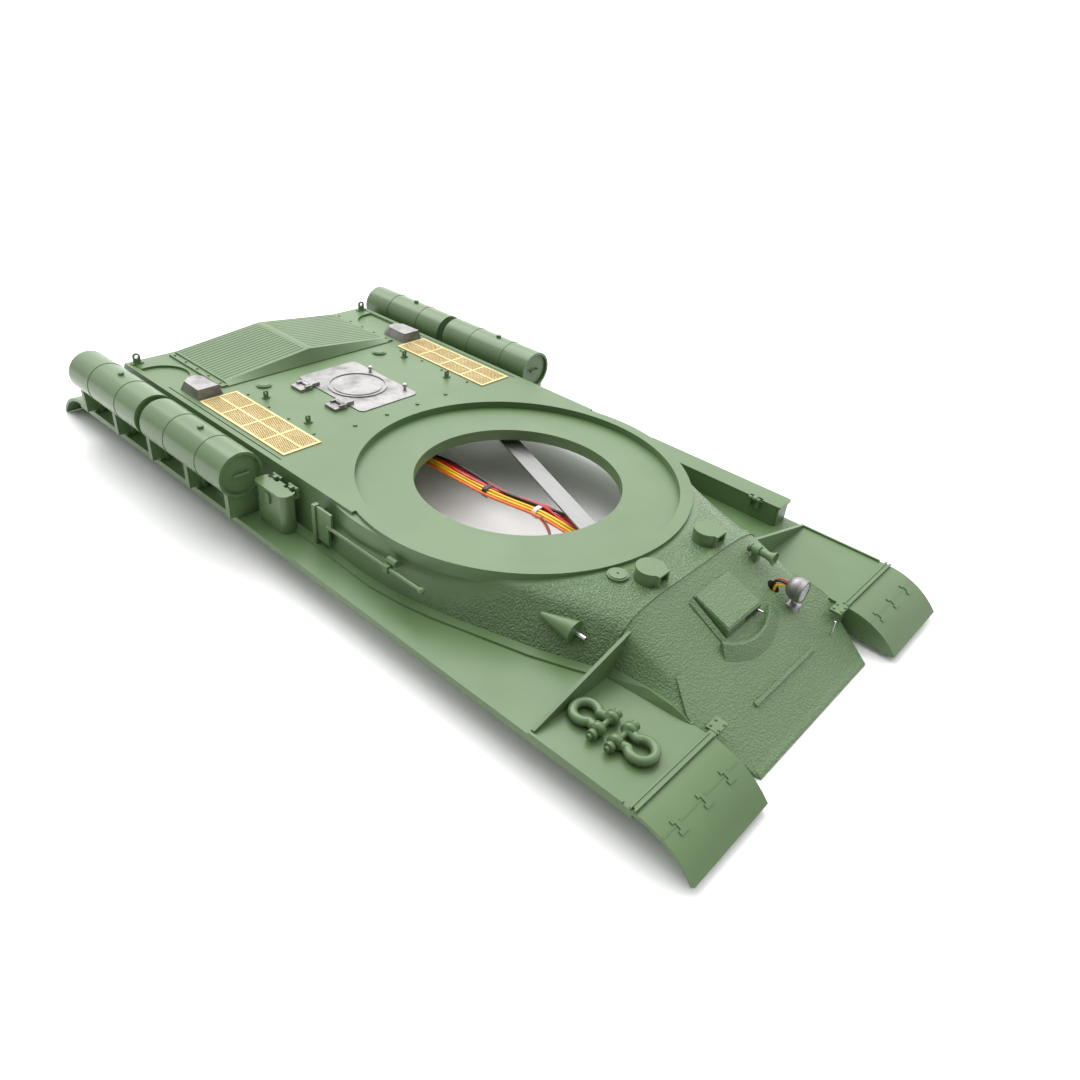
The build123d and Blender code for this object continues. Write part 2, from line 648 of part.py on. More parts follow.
VISOR_HALF = 12.5
VISOR_REAR_Y = -102.9
VISOR_FRONT_Y = -119.0


def driver_visor(outer):
    """Hood over the driver's slot: level with the glacis slope, open at the front."""
    side = prism_x([(VISOR_REAR_Y + 3.0, glacis_z(VISOR_REAR_Y + 3.0) - 3.0),
                    (VISOR_REAR_Y, -3.3), (VISOR_FRONT_Y, -13.2), (VISOR_FRONT_Y - 0.4, -19.0)],
                   -VISOR_HALF, VISOR_HALF)
    flank = prism_z([(-VISOR_HALF, VISOR_REAR_Y + 4), (VISOR_HALF, VISOR_REAR_Y + 4),
                     (VISOR_HALF - 0.4, VISOR_FRONT_Y - 2), (0.4 - VISOR_HALF, VISOR_FRONT_Y - 2)],
                    -30.0, 0.0)
    slot_z = glacis_z(VISOR_FRONT_Y) + 0.4
    slot = block(-8.0, 8.0, VISOR_FRONT_Y - 3.0, VISOR_FRONT_Y + 4.0, slot_z, slot_z + 1.2)
    return (side & flank) - slot - outer


def splash_guard(outer):
    """Bowed bar standing on the glacis in front of the visor."""
    centre_y = -114.0
    ring = disc(0, centre_y, -34.0, 0.0, 20.6) - disc(0, centre_y, -34.0, 0.0, 18.2)
    band = prism_x([(-124.0, glacis_z(-124.0) - 3.0), (-124.0, glacis_z(-124.0) + 2.6),
                    (-137.0, glacis_z(-137.0) + 2.6), (-137.0, glacis_z(-137.0) - 3.0)],
                   -19.0, 19.0)
    return (ring & band) - outer - nose_plate(-118.0, STRIP_Y, NOSE_SHOULDER_HALF)


def glacis_rib():
    """Low bar across the lower glacis."""
    y = -140.2
    half = 22.5
    return prism_x([(y - 0.8, glacis_z(y - 0.8)), (y + 0.8, glacis_z(y + 0.8)),
                    (y + 0.5, glacis_z(y) + 1.1), (y - 0.9, glacis_z(y) + 0.5)], -half, half)


HORN_X = 31.0
HORN_Z = -2.6
HORN_REAR_Y = -101.4


def horn_bracket(outer):
    y0 = HORN_REAR_Y - 4.0
    y1 = HORN_REAR_Y - 1.2
    post = block(HORN_X - 1.6, HORN_X + 1.6, y0, y1, -14.0, HORN_Z)
    collar = rod_y(HORN_X, y0, y1, HORN_Z, 2.3)
    return post + collar - rod_y(HORN_X, y0 - 1, y1 + 1, HORN_Z, 1.5) - outer


def horn_trumpet():
    tube = rod_y(HORN_X, -108.5, HORN_REAR_Y, HORN_Z, 1.5)
    bell = [(0.0, -108.5), (1.5, -108.5), (2.0, -110.6), (3.1, -112.4), (2.6, -112.4),
            (1.3, -110.6), (0.0, -110.0)]
    flare = Pos(HORN_X, 0, HORN_Z) * revolve(Plane.XY * make_face(Polyline(*bell, close=True)),
                                             Axis.Y, 360)
    back = rod_y(HORN_X, HORN_REAR_Y, HORN_REAR_Y + 1.0, HORN_Z, 1.9)
    return tube + flare + back


LAMP_X = 30.4
LAMP_Y = -125.0
LAMP_Z = -10.2
LAMP_R = 4.9
LAMP_LEAD_HOLE = (28.8, -115.6)
LEAD_TOP_Z = -9.8
LEAD_LOW_Z = -23.0


def headlight_housing():
    """Cast bowl, open at the front, with a rim."""
    bowl = Pos(LAMP_X, LAMP_Y, LAMP_Z) * Sphere(LAMP_R)
    bowl -= block(LAMP_X - 9, LAMP_X + 9, LAMP_Y - 9, LAMP_Y - 1.2, LAMP_Z - 9, LAMP_Z + 9)
    bowl += rod_y(LAMP_X, LAMP_Y - 3.0, LAMP_Y - 1.2, LAMP_Z, LAMP_R)
    bowl -= rod_y(LAMP_X, LAMP_Y - 3.4, LAMP_Y + 0.4, LAMP_Z, LAMP_R - 1.0)
    return bowl - lead_sockets()


def headlight_lens():
    dish = rod_y(LAMP_X, LAMP_Y - 2.8, LAMP_Y - 1.6, LAMP_Z, LAMP_R - 1.0)
    return dish


def headlight_bracket(outer):
    """Stalk from the glacis up to the bowl."""
    top = LAMP_Z - LAMP_R + 0.6
    stalk = disc(LAMP_X, LAMP_Y, -24.0, top, 1.3)
    foot = disc(LAMP_X, LAMP_Y, -24.0, glacis_z(LAMP_Y) + 1.2, 3.0)
    ball = Pos(LAMP_X, LAMP_Y, LAMP_Z) * Sphere(LAMP_R)
    ball += rod_y(LAMP_X, LAMP_Y - 3.0, LAMP_Y - 1.2, LAMP_Z, LAMP_R)
    return stalk + foot - outer - ball - nose_plate(-118.0, STRIP_Y, NOSE_SHOULDER_HALF)


MG_X = -54.4
MG_Y = -80.5
MG_Z = -12.4
MG_TUBE_R = 0.9


def gun_fairing(outer):
    """Cone on the right of the hull, pointing to the rear, round the fixed gun tube."""
    cone = loft([Plane.XZ.offset(-MG_Y - 14.0) * Pos(MG_X - 3.6, MG_Z + 2.4) * Circle(1.0),
                 Plane.XZ.offset(-MG_Y) * Pos(MG_X, MG_Z) * Circle(4.8)])
    return cone - outer - rod_y(MG_X, MG_Y - 1.0, MG_Y + 20.0, MG_Z, MG_TUBE_R)


GUN_TUBE_REAR_Y = MG_Y + 17.5
LED_R = 1.6
LED_L = 6.0


def gun_tube():
    """Tube through the hull side, with a small lamp body on its inner end."""
    tube = rod_y(MG_X, MG_Y - 4.6, GUN_TUBE_REAR_Y, MG_Z, MG_TUBE_R)
    tube -= rod_y(MG_X, MG_Y - 5.0, MG_Y - 1.0, MG_Z, 0.5)
    tube += rod_y(MG_X, GUN_TUBE_REAR_Y, GUN_TUBE_REAR_Y + LED_L, MG_Z, LED_R)
    for across, level in GUN_LEADS.values():
        tube -= rod_y(MG_X, GUN_TUBE_REAR_Y + LED_L - 3.0, GUN_TUBE_REAR_Y + LED_L + 1.0,
                      MG_Z + level, GUN_LEAD_R + 0.2)
    return tube


def marker_pin():
    """Thin rod standing on the lower left of the glacis."""
    y = -141.0
    x = 37.6
    return disc(x, y, glacis_z(y + 0.4), -21.0, 0.4)


def visor_pin():
    z = glacis_z(VISOR_FRONT_Y) + 2.4
    return rod_y(9.6, VISOR_FRONT_Y - 2.6, VISOR_FRONT_Y - 0.4, z, 0.45)


# ---------------------------------------------------------------- fuel drums
def drum_rows():
    return [DRUM_FRONT_Y, DRUM_FRONT_Y + DRUM_L + DRUM_GAP]


def drum(y0):
    """Left drum: open tube with two rolled bands and a seam along the bottom."""
    y1 = y0 + DRUM_L
    tube = rod_y(DRUM_X, y0, y1, DRUM_Z, DRUM_R)
    for share in (0.3, 0.7):
        y = y0 + share * DRUM_L
        tube += rod_y(DRUM_X, y - 0.5, y + 0.5, DRUM_Z, DRUM_R + 0.2)
    return tube - rod_y(DRUM_X, y0 - 1, y1 + 1, DRUM_Z, DRUM_R - DRUM_WALL)


def drum_end_faces():
    faces = []
    for y0 in drum_rows():
        faces.append((y0 + CAP_RECESS, 1))
        faces.append((y0 + DRUM_L - CAP_RECESS, -1))
    return faces


def drum_end_caps():
    caps = []
    for y, way in drum_end_faces():
        caps.append(rod_y(DRUM_X, min(y, y + way * CAP_T), max(y, y + way * CAP_T), DRUM_Z,
                          DRUM_R - DRUM_WALL))
    return both_sides(group(caps))


def drum_handles():
    """Small bar handle on each end cap."""
    bars = []
    for y, way in drum_end_faces():
        y_out = y - way * 1.2
        bar = rod_x(DRUM_X - 3.6, DRUM_X + 3.6, y_out, DRUM_Z, 0.55)
        for x in (DRUM_X - 2.6, DRUM_X + 2.6):
            bar += rod_y(x, min(y, y_out), max(y, y_out), DRUM_Z, 0.5)
        bars.append(bar)
    return both_sides(group(bars))


def drum_filler_caps():
    outer_r = DRUM_R - 0.3
    caps = [disc(DRUM_X, y0 + DRUM_L * 0.45, DRUM_Z + outer_r, DRUM_Z + DRUM_R + 1.2, 1.4)
            - rod_y(DRUM_X, y0, y0 + DRUM_L, DRUM_Z, DRUM_R) for y0 in drum_rows()]
    return both_sides(group(caps))


def drum_rack():
    """Left rack on the fender: arched side plate with a saddle at each post."""
    y0 = DRUM_FRONT_Y + 1.0
    y1 = DRUM_FRONT_Y + 2 * DRUM_L + DRUM_GAP - 1.0
    pitch = (y1 - y0 - SADDLE_T) / (POST_COUNT - 1)
    top = DRUM_Z - DRUM_R - 0.4
    plate = block(DRUM_X - RACK_T / 2, DRUM_X + RACK_T / 2, y0, y1, FENDER_TOP, top)
    for k in range(POST_COUNT - 1):
        mid = y0 + SADDLE_T / 2 + (k + 0.5) * pitch
        width = pitch - SADDLE_T - 3.0
        height = top - FENDER_TOP - 1.8
        arch = block(-200, 200, mid - width / 2, mid + width / 2, FENDER_TOP, FENDER_TOP
                     + height - 3.0)
        arch += Pos(0, mid, FENDER_TOP + height - 3.0) * Rot(0, 90, 0) * extrude(
            Ellipse(3.0, width / 2), amount=200, both=True)
        plate -= arch
    rack = plate
    for k in range(POST_COUNT):
        y = y0 + k * pitch
        x_in = DRUM_X - SADDLE_HALF
        x_out = FENDER_HALF - 0.4
        rack += block(x_in, x_out, y, y + SADDLE_T, FENDER_TOP, FENDER_TOP + 1.2)
        saddle = block(DRUM_X - SADDLE_HALF, DRUM_X + SADDLE_HALF, y, y + SADDLE_T, FENDER_TOP
                       + 1.2, DRUM_Z - DRUM_R + 2.6)
        rack += saddle
    return rack - rod_y(DRUM_X, y0 - 9, y1 + 9, DRUM_Z, DRUM_R + 0.2)


# ---------------------------------------------------------------- stowage boxes
def box_shell(x0, x1, y0, y1, z1, corner):
    """Open-topped box on the fender with rounded upright corners."""
    body = rounded_plate((x1 - x0) / 2, (y1 - y0) / 2, corner, FENDER_TOP, z1, (y0 + y1) / 2,
                         (x0 + x1) / 2)
    inner = rounded_plate((x1 - x0) / 2 - BOX_WALL, (y1 - y0) / 2 - BOX_WALL, corner - BOX_WALL,
                          FENDER_TOP + BOX_WALL, z1 + 1, (y0 + y1) / 2, (x0 + x1) / 2)
    return body - inner


def lid_plate(x0, x1, y0, y1, z0, corner, hinge_side):
    """Lid with a small overhang on all sides but the hinge side."""
    left = x0 - (0.0 if hinge_side < 0 else LID_LIP)
    right = x1 + (0.0 if hinge_side > 0 else LID_LIP)
    return rounded_plate((right - left) / 2, (y1 - y0) / 2 + LID_LIP, corner, z0, z0 + LID_T,
                         (y0 + y1) / 2, (left + right) / 2)


def lid_hinge(axis_x, axis_z, rows, toward):
    """Pins, box knuckles and lid knuckles of one lid, at the given places along Y."""
    pins = []
    fixed = []
    moving = []
    for y in rows:
        pins.append(rod_y(axis_x, y - 3.0, y + 3.0, axis_z, LID_PIN_R))
        for side in (-1, 1):
            y_in = y + side * 1.3
            y_out = y + side * 3.0
            ear = rod_y(axis_x, *sorted((y_in, y_out)), axis_z, LID_KNUCKLE_R)
            ear += block(axis_x - 0.6, axis_x + 0.6, *sorted((y_in, y_out)), axis_z - 4.0,
                         axis_z)
            fixed.append(ear - rod_y(axis_x, y - 9, y + 9, axis_z, LID_PIN_R))
        knuckle = rod_y(axis_x, y - 1.0, y + 1.0, axis_z, LID_KNUCKLE_R)
        knuckle += block(min(axis_x, axis_x + toward * 2.2), max(axis_x, axis_x + toward * 2.2),
                         y - 1.0, y + 1.0, axis_z - 0.1, axis_z + LID_KNUCKLE_R)
        moving.append(knuckle - rod_y(axis_x, y - 9, y + 9, axis_z, LID_PIN_R + RUN_FIT))
    return pins, fixed, moving


RIGHT_LID_AXIS_X = -RIGHT_BOX_IN_X + 0.4
RIGHT_LID_ROWS = [RIGHT_BOX_FRONT_Y + 4.6, RIGHT_BOX_FRONT_Y + RIGHT_BOX_L - 4.6]
LONG_LID_AXIS_X = LONG_BOX_IN_X - 0.6
LONG_LID_ROWS = [LONG_BOX_FRONT_Y + 12.0, LONG_BOX_FRONT_Y + LONG_BOX_L - 12.0]


def right_box_parts():
    y0 = RIGHT_BOX_FRONT_Y
    y1 = y0 + RIGHT_BOX_L
    x0 = -RIGHT_BOX_OUT_X
    x1 = -RIGHT_BOX_IN_X
    top = RIGHT_BOX_TOP - LID_T - 0.1
    body = box_shell(x0, x1 - 1.0, y0, y1, top, 3.2)
    lid = lid_plate(x0, x1 - 1.0, y0, y1, RIGHT_BOX_TOP - LID_T, 3.4, 1)
    axis_z = RIGHT_BOX_TOP - 0.2
    pins, fixed, moving = lid_hinge(RIGHT_LID_AXIS_X, axis_z, RIGHT_LID_ROWS, -1)
    for ear in fixed:
        y_mid = ear.bounding_box().center().Y
        half = ear.bounding_box().size.Y / 2
        body += ear + block(x1 - 1.4, RIGHT_LID_AXIS_X + 0.6, y_mid - half, y_mid + half,
                            axis_z - 4.0, axis_z - 2.4)
    for y in RIGHT_LID_ROWS:
        lid -= block(x1 - 2.6, x1 + 3, y - 3.4, y + 3.4, -9, 3)
    for knuckle in moving:
        y_mid = knuckle.bounding_box().center().Y
        lid += knuckle + block(x1 - 2.8, RIGHT_LID_AXIS_X - LID_KNUCKLE_R + 0.3, y_mid - 1.0,
                               y_mid + 1.0, RIGHT_BOX_TOP - LID_T + 0.3, RIGHT_BOX_TOP)
    for y in RIGHT_LID_ROWS:
        lid -= rod_y(RIGHT_LID_AXIS_X, y - 3.2, y + 3.2, axis_z, LID_PIN_R + RUN_FIT)
    latch = block(x0 - 0.9, x0, (y0 + y1) / 2 - 1.4, (y0 + y1) / 2 + 1.4, top - 5.5, top - 0.4)
    return body, lid, group(pins), latch


def long_box_parts():
    y0 = LONG_BOX_FRONT_Y
    y1 = y0 + LONG_BOX_L
    x0 = LONG_BOX_IN_X + 0.8
    x1 = LONG_BOX_OUT_X
    top = LONG_BOX_TOP - LID_T - 0.1
    body = box_shell(x0, x1, y0, y1, top, 1.4)
    lid = lid_plate(x0, x1, y0, y1, LONG_BOX_TOP - LID_T, 1.2, -1)
    axis_z = LONG_BOX_TOP - 0.2
    pins, fixed, moving = lid_hinge(LONG_LID_AXIS_X, axis_z, LONG_LID_ROWS, 1)
    for ear in fixed:
        y_mid = ear.bounding_box().center().Y
        half = ear.bounding_box().size.Y / 2
        body += ear + block(LONG_LID_AXIS_X - 0.6, x0 + 0.4, y_mid - half, y_mid + half,
                            axis_z - 4.0, axis_z - 2.4)
    for y in LONG_LID_ROWS:
        lid -= block(x0 - 3, x0 + 1.6, y - 3.4, y + 3.4, -20, 3)
    for knuckle in moving:
        y_mid = knuckle.bounding_box().center().Y
        lid += knuckle + block(LONG_LID_AXIS_X + LID_KNUCKLE_R - 0.3, x0 + 1.8, y_mid - 1.0,
                               y_mid + 1.0, LONG_BOX_TOP - LID_T + 0.3, LONG_BOX_TOP)
    for y in LONG_LID_ROWS:
        lid -= rod_y(LONG_LID_AXIS_X, y - 3.2, y + 3.2, axis_z, LID_PIN_R + RUN_FIT)
    latches = []
    for share in (0.14, 0.86):
        y = y0 + share * LONG_BOX_L
        latches.append(block(x1, x1 + 0.9, y - 1.6, y + 1.6, top - 4.6, top - 0.4))
    return body, lid, group(pins), group(latches)


# ---------------------------------------------------------------- tool and shackles
TOOL_X = -81.6
TOOL_Z = -9.8


def shovel():
    """Digging tool carried along the right side: flat blade, round shaft, ball end."""
    blade = block(TOOL_X - 0.5, TOOL_X + 0.5, 26.8, 36.4, -10.8, -3.0)
    blade += block(TOOL_X - 0.5, TOOL_X + 0.5, 28.8, 36.4, -18.8, -10.8)
    shaft = rod_y(TOOL_X - 0.2, -27.4, 30.0, TOOL_Z, 0.85)
    ball = Pos(TOOL_X - 0.2, -27.4, TOOL_Z) * Sphere(1.5)
    return blade + shaft + ball


def tool_rack(outer):
    """Upright channel that holds the blade, standing on the fender by the hull side."""
    rear = block(TOOL_X - 1.3, TOOL_X + 1.3, 36.4, 38.6, FENDER_TOP, -2.6)
    tie = block(TOOL_X - 1.3, -74.0, 36.8, 38.2, -16.0, -6.0)
    return rear + tie - outer


def tool_clamp(outer):
    """Clip on the hull side that grips the shaft."""
    y = -8.0
    jaw = block(TOOL_X - 1.6, TOOL_X + 1.4, y - 1.4, y + 1.4, TOOL_Z - 1.5, TOOL_Z + 1.6)
    arm = block(TOOL_X + 1.0, -70.0, y - 1.2, y + 1.2, TOOL_Z + 0.2, TOOL_Z + 1.6)
    knob = rod_y(TOOL_X + 1.8, y - 3.4, y + 1.4, TOOL_Z + 2.6, 1.5)
    return jaw + arm + knob - rod_y(TOOL_X - 0.2, y - 9, y + 9, TOOL_Z, 0.85) - outer


SHACKLE_X = -76.0
SHACKLE_WIRE = 1.55
SHACKLE_BEND_R = 4.3
SHACKLE_LEG = 6.6
SHACKLE_Z = FENDER_TOP + SHACKLE_WIRE


def shackle(y_pin, way):
    """Bow lying on the fender: a bent bar with an eye on each end."""
    bend_y = y_pin - way * SHACKLE_LEG
    half = block(-99, 0, *sorted((bend_y, bend_y - way * 20)), FENDER_TOP - 5, 0)
    bow = Pos(SHACKLE_X, bend_y, SHACKLE_Z) * Torus(SHACKLE_BEND_R, SHACKLE_WIRE) & half
    for side in (-1, 1):
        x = SHACKLE_X + side * SHACKLE_BEND_R
        bow += rod_y(x, *sorted((bend_y, y_pin)), SHACKLE_Z, SHACKLE_WIRE)
        bow += rod_x(x - 1.4, x + 1.4, y_pin, SHACKLE_Z + 0.8, 2.35)
    return bow - rod_x(SHACKLE_X - 9, SHACKLE_X + 9, y_pin, SHACKLE_Z + 0.8, PIN_R)


PIN_R = 1.05
REAR_PIN_Y = -112.0
FRONT_PIN_Y = -119.4


def shackle_pins():
    """Cross pins with a head on one end and a nut on the other."""
    pins = []
    for y in (REAR_PIN_Y, FRONT_PIN_Y):
        z = SHACKLE_Z + 0.8
        pin = rod_x(SHACKLE_X - 8.6, SHACKLE_X + 7.8, y, z, PIN_R)
        pin += rod_x(SHACKLE_X - 7.4, SHACKLE_X - 5.9, y, z, 1.9)
        pin += rod_x(SHACKLE_X + 5.9, SHACKLE_X + 7.4, y, z, 1.9)
        pins.append(pin)
    return group(pins)


# ---------------------------------------------------------------- inside
SCREW_R = 1.0
SCREW_DEPTH = 5.0
STRAP_ENDS = [(36.0, 40.0), (-5.0, -60.0)]
LEAD_CLIP_BOX = (-7.0, 3.0, 78.5, 85.0, -14.0, -1.0)


def strap():
    """Bare aluminium strap with rounded ends, screwed under the ring."""
    (xa, ya), (xb, yb) = STRAP_ENDS
    angle = degrees(atan2(yb - ya, xb - xa))
    length = hypot(xb - xa, yb - ya)
    middle = Pos((xa + xb) / 2, (ya + yb) / 2, STRAP_TOP - STRAP_T) * Rot(0, 0, angle)
    bar = middle * extrude(SlotCenterToCenter(length, STRAP_W), amount=STRAP_T)
    for x, y in STRAP_ENDS:
        bar -= disc(x, y, STRAP_TOP - 2 * STRAP_T, STRAP_TOP + 1, SCREW_R)
    return bar


def strap_screws():
    screws = []
    for x, y in STRAP_ENDS:
        under = STRAP_TOP - STRAP_T
        shank = disc(x, y, under, STRAP_TOP + SCREW_DEPTH - 0.5, SCREW_R)
        screws.append(shank + disc(x, y, under - 1.2, under, 2.0))
    return group(screws)


LEAD_LEVEL = -17.6
PLUG_FRONT_Y = 74.0
PLUG_REAR_Y = 87.0
PLUG_X = -2.6
SOCKET_DEPTH = 4.0


def route(points):
    """Centre line of straight runs joined by arcs as large as the runs allow."""
    vectors = [Vector(*p) for p in points]
    radii = []
    for before, here, after in zip(vectors, vectors[1:], vectors[2:]):
        turn = radians((here - before).get_angle(after - here))
        shorter = min((here - before).length, (after - here).length)
        radii.append(0.45 * shorter / tan(turn / 2))
    return FilletPolyline(*vectors, radius=radii), radii


def lead_start(across, level):
    return (PLUG_X + across, PLUG_FRONT_Y + SOCKET_DEPTH, LEAD_LEVEL + level)


def bundle_points(across, level):
    """Centre line of one lead from the plug to where the bundle divides."""
    x, y, z = lead_start(across, level)
    return [(x, y, z), (x + 0.3, 58.0, z), (x + 1.8, 17.5, z - 0.8), (x + 6.0, -12.5, z - 0.3),
            (x + 6.6, -34.0, z - 0.9)]


def lamp_lead(name, across, level):
    """A lead through the hole in the glacis and into the back of the lamp."""
    x, y, z = lead_start(across, level)
    hole_x = LAMP_LEAD_HOLE[0] + across
    hole_y = LAMP_LEAD_HOLE[1] + level
    points = bundle_points(across, level)
    points += [(x + 13.0, -62.0, z - 1.6), (hole_x - 5.0, -88.0, LEAD_LOW_Z + level + 1.4),
               (hole_x, hole_y + 12.0, LEAD_LOW_Z + level), (hole_x, hole_y, LEAD_LOW_Z + level),
               (hole_x, hole_y, LEAD_TOP_Z + level), (hole_x, LAMP_Y + 1.4, LEAD_TOP_Z + level)]
    return lead(name, points, LEAD_R)


def gun_lead(name, across, level):
    """A lead to the small lamp at the inner end of the gun tube."""
    x, y, z = lead_start(across, level)
    end_z = MG_Z + level
    points = bundle_points(across, level)[:-1]
    points += [(x - 2.0, -27.0, z - 0.9), (x - 22.0, -40.0, z - 0.9),
               (MG_X, -42.0, end_z - 1.6), (MG_X, GUN_TUBE_REAR_Y + LED_L - 2.6, end_z)]
    return lead(name, points, GUN_LEAD_R)


def lead(name, points, radius):
    path, radii = route(points)
    tube = sweep(Plane(path @ 0, z_dir=path % 0) * Circle(radius), path)
    print(name, "radii", [round(r, 1) for r in radii], "length", round(path.length, 1),
          "solids", len(tube.solids()), "volume", round(tube.volume, 1))
    return tube


def lead_sockets():
    """Blind holes in the back of the lamp, one for each lead."""
    holes = []
    for across, level in LAMP_LEADS.values():
        holes.append(rod_y(LAMP_LEAD_HOLE[0] + across, LAMP_Y + 1.2, LAMP_Y + LAMP_R + 3,
                           LEAD_TOP_Z + level, LEAD_R + 0.1))
    return group(holes)


def plug():
    """Connector that gathers the leads, hung from the clip under the deck."""
    body = block(PLUG_X - 4.4, PLUG_X + 4.4, PLUG_FRONT_Y, PLUG_REAR_Y, LEAD_LEVEL - 3.4,
                 LEAD_CLIP_BOX[4])
    for across, level in [*LAMP_LEADS.values(), *GUN_LEADS.values()]:
        x, y, z = lead_start(across, level)
        body -= rod_y(x, PLUG_FRONT_Y - 1, y, z, LEAD_R + 0.1)
    return body


def tie(y, x, z, width):
    """Band round the whole bundle."""
    ring = RectangleRounded(6.6, 5.4, 2.4) - RectangleRounded(5.4, 4.2, 1.8)
    return extrude(Plane.XZ.offset(-y) * Pos(x, z) * ring, amount=width / 2, both=True)


def bundle_ties():
    return [tie(17.5, PLUG_X + 1.7, LEAD_LEVEL - 0.6, 2.4),
            tie(-10.5, PLUG_X + 5.6, LEAD_LEVEL - 0.3, 2.0)]


GUN_LEAD_R = 0.5
LAMP_LEADS = {                       # name: place in the bundle (across, up)
    "lamp_lead_red": (LEAD_STEP, LEAD_STEP / 2),
    "lamp_lead_yellow": (0.0, -LEAD_STEP / 2),
    "lamp_lead_black": (0.0, LEAD_STEP / 2),
}
GUN_LEADS = {
    "gun_lead_orange": (-LEAD_STEP, -LEAD_STEP / 2),
    "gun_lead_brown": (-LEAD_STEP, LEAD_STEP / 2),
}


def left_and_right(name, piece):
    whole = group([piece])
    export("left_" + name, whole)
    export("right_" + name, other_side(whole))


if __name__ == "__main__":
    os.makedirs("parts", exist_ok=True)
    outer = outer_hull()
    gun_hole = rod_y(MG_X, MG_Y - 9, MG_Y + 30, MG_Z, MG_TUBE_R)
    export("hull_shell", hull_shell(outer) - gun_hole + glacis_rib())

    left_and_right("fender", fender(outer))
    export("fender_gussets", both_sides(gusset(outer)))
    left_and_right("front_mudguard", front_mudguard())
    export("rear_mudguards", both_sides(rear_mudguard()))
    export("joint_strips", both_sides(joint_strip()))

    export("engine_hatch", engine_hatch())
    export("hatch_hinge_blocks", hinge_blocks())
    export("hatch_knobs", hatch_knobs())
    export("grille_frames", both_sides(grille_frame()))
    export("grille_meshes", both_sides(grille_mesh()))
    export("exhaust_covers", both_sides(exhaust_cover()))
    export("louvre_cover", louvre_cover())
    export("louvre_side_straps", louvre_frames())
    export("filler_caps", filler_caps())
    export("lifting_eyes", lifting_eyes())
    export("deck_hooks", deck_hooks())
    export("deck_bolts", group([deck_screws(), deck_bolts()]))

    export("periscope_hoods", periscope_hoods(outer))
    export("vent_disc", vent_disc(outer))
    export("driver_visor", driver_visor(outer))
    export("splash_guard", splash_guard(outer))
    export("horn_bracket", horn_bracket(outer))
    export("horn_trumpet", horn_trumpet())
    export("headlight_bowl", headlight_housing())
    export("headlight_lens", headlight_lens())
    export("headlight_stalk", headlight_bracket(outer))
    export("gun_fairing", gun_fairing(outer))
    export("gun_tube", gun_tube())
    export("wire_pins", group([marker_pin(), visor_pin()]))

    left_and_right("drums", group([drum(y0) for y0 in drum_rows()]))
    export("drum_end_caps", drum_end_caps())
    export("drum_handles", drum_handles())
    export("drum_filler_caps", drum_filler_caps())
    left_and_right("drum_rack", drum_rack())

    pins = [hinge_pins()]
    latches = []
    for side, parts in (("right", right_box_parts()), ("left", long_box_parts())):
        body, lid, lid_pins, latch = parts
        export(side + "_box", body)
        export(side + "_box_lid", lid)
        pins.append(lid_pins)
        latches.append(latch)
    export("hinge_pins", group(pins))
    export("box_latches", group(latches))
    export("shovel", shovel())
    export("tool_rack", tool_rack(outer))
    export("tool_clamp", tool_clamp(outer))
    export("tow_shackles", group([shackle(REAR_PIN_Y, -1), shackle(FRONT_PIN_Y, 1)]))
    export("shackle_pins", shackle_pins())

    export("strap", strap())
    export("strap_screws", strap_screws())
    export("lead_plug", plug())
    for name, (across, level) in LAMP_LEADS.items():
        export(name, lamp_lead(name, across, level))
    for name, (across, level) in GUN_LEADS.items():
        export(name, gun_lead(name, across, level))
    dark_tie, pale_tie = bundle_ties()
    export("dark_tie", dark_tie)
    export("pale_tie", pale_tie)
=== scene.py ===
import json
import bpy
import numpy as np
from mathutils import Matrix, Vector


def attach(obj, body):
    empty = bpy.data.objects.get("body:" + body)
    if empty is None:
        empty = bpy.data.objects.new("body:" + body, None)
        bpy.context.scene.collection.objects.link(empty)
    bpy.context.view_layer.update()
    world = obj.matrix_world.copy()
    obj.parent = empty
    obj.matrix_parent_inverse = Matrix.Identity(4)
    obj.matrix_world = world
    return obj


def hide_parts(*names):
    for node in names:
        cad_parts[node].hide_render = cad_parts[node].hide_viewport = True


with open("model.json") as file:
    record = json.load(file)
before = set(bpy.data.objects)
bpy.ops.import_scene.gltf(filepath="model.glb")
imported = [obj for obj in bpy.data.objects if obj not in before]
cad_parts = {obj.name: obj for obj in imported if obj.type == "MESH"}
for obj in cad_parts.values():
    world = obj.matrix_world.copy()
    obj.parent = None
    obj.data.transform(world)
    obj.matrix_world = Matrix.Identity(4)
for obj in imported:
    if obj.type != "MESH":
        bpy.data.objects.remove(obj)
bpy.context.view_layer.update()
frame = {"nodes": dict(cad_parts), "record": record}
nodes = frame["nodes"]

mm = 0.001
ringAt = np.array([0.0, -42.0, 37.0])  # ring centre at deck level, row frame, millimetres
fenderZ = -22.0  # top of the fenders, about the ring centre, millimetres


def rowPoints(points):
    # Millimetres about the ring centre to metres in the row frame: (point + ring centre) / 1000.
    return (np.asarray(points, float) + ringAt) * mm


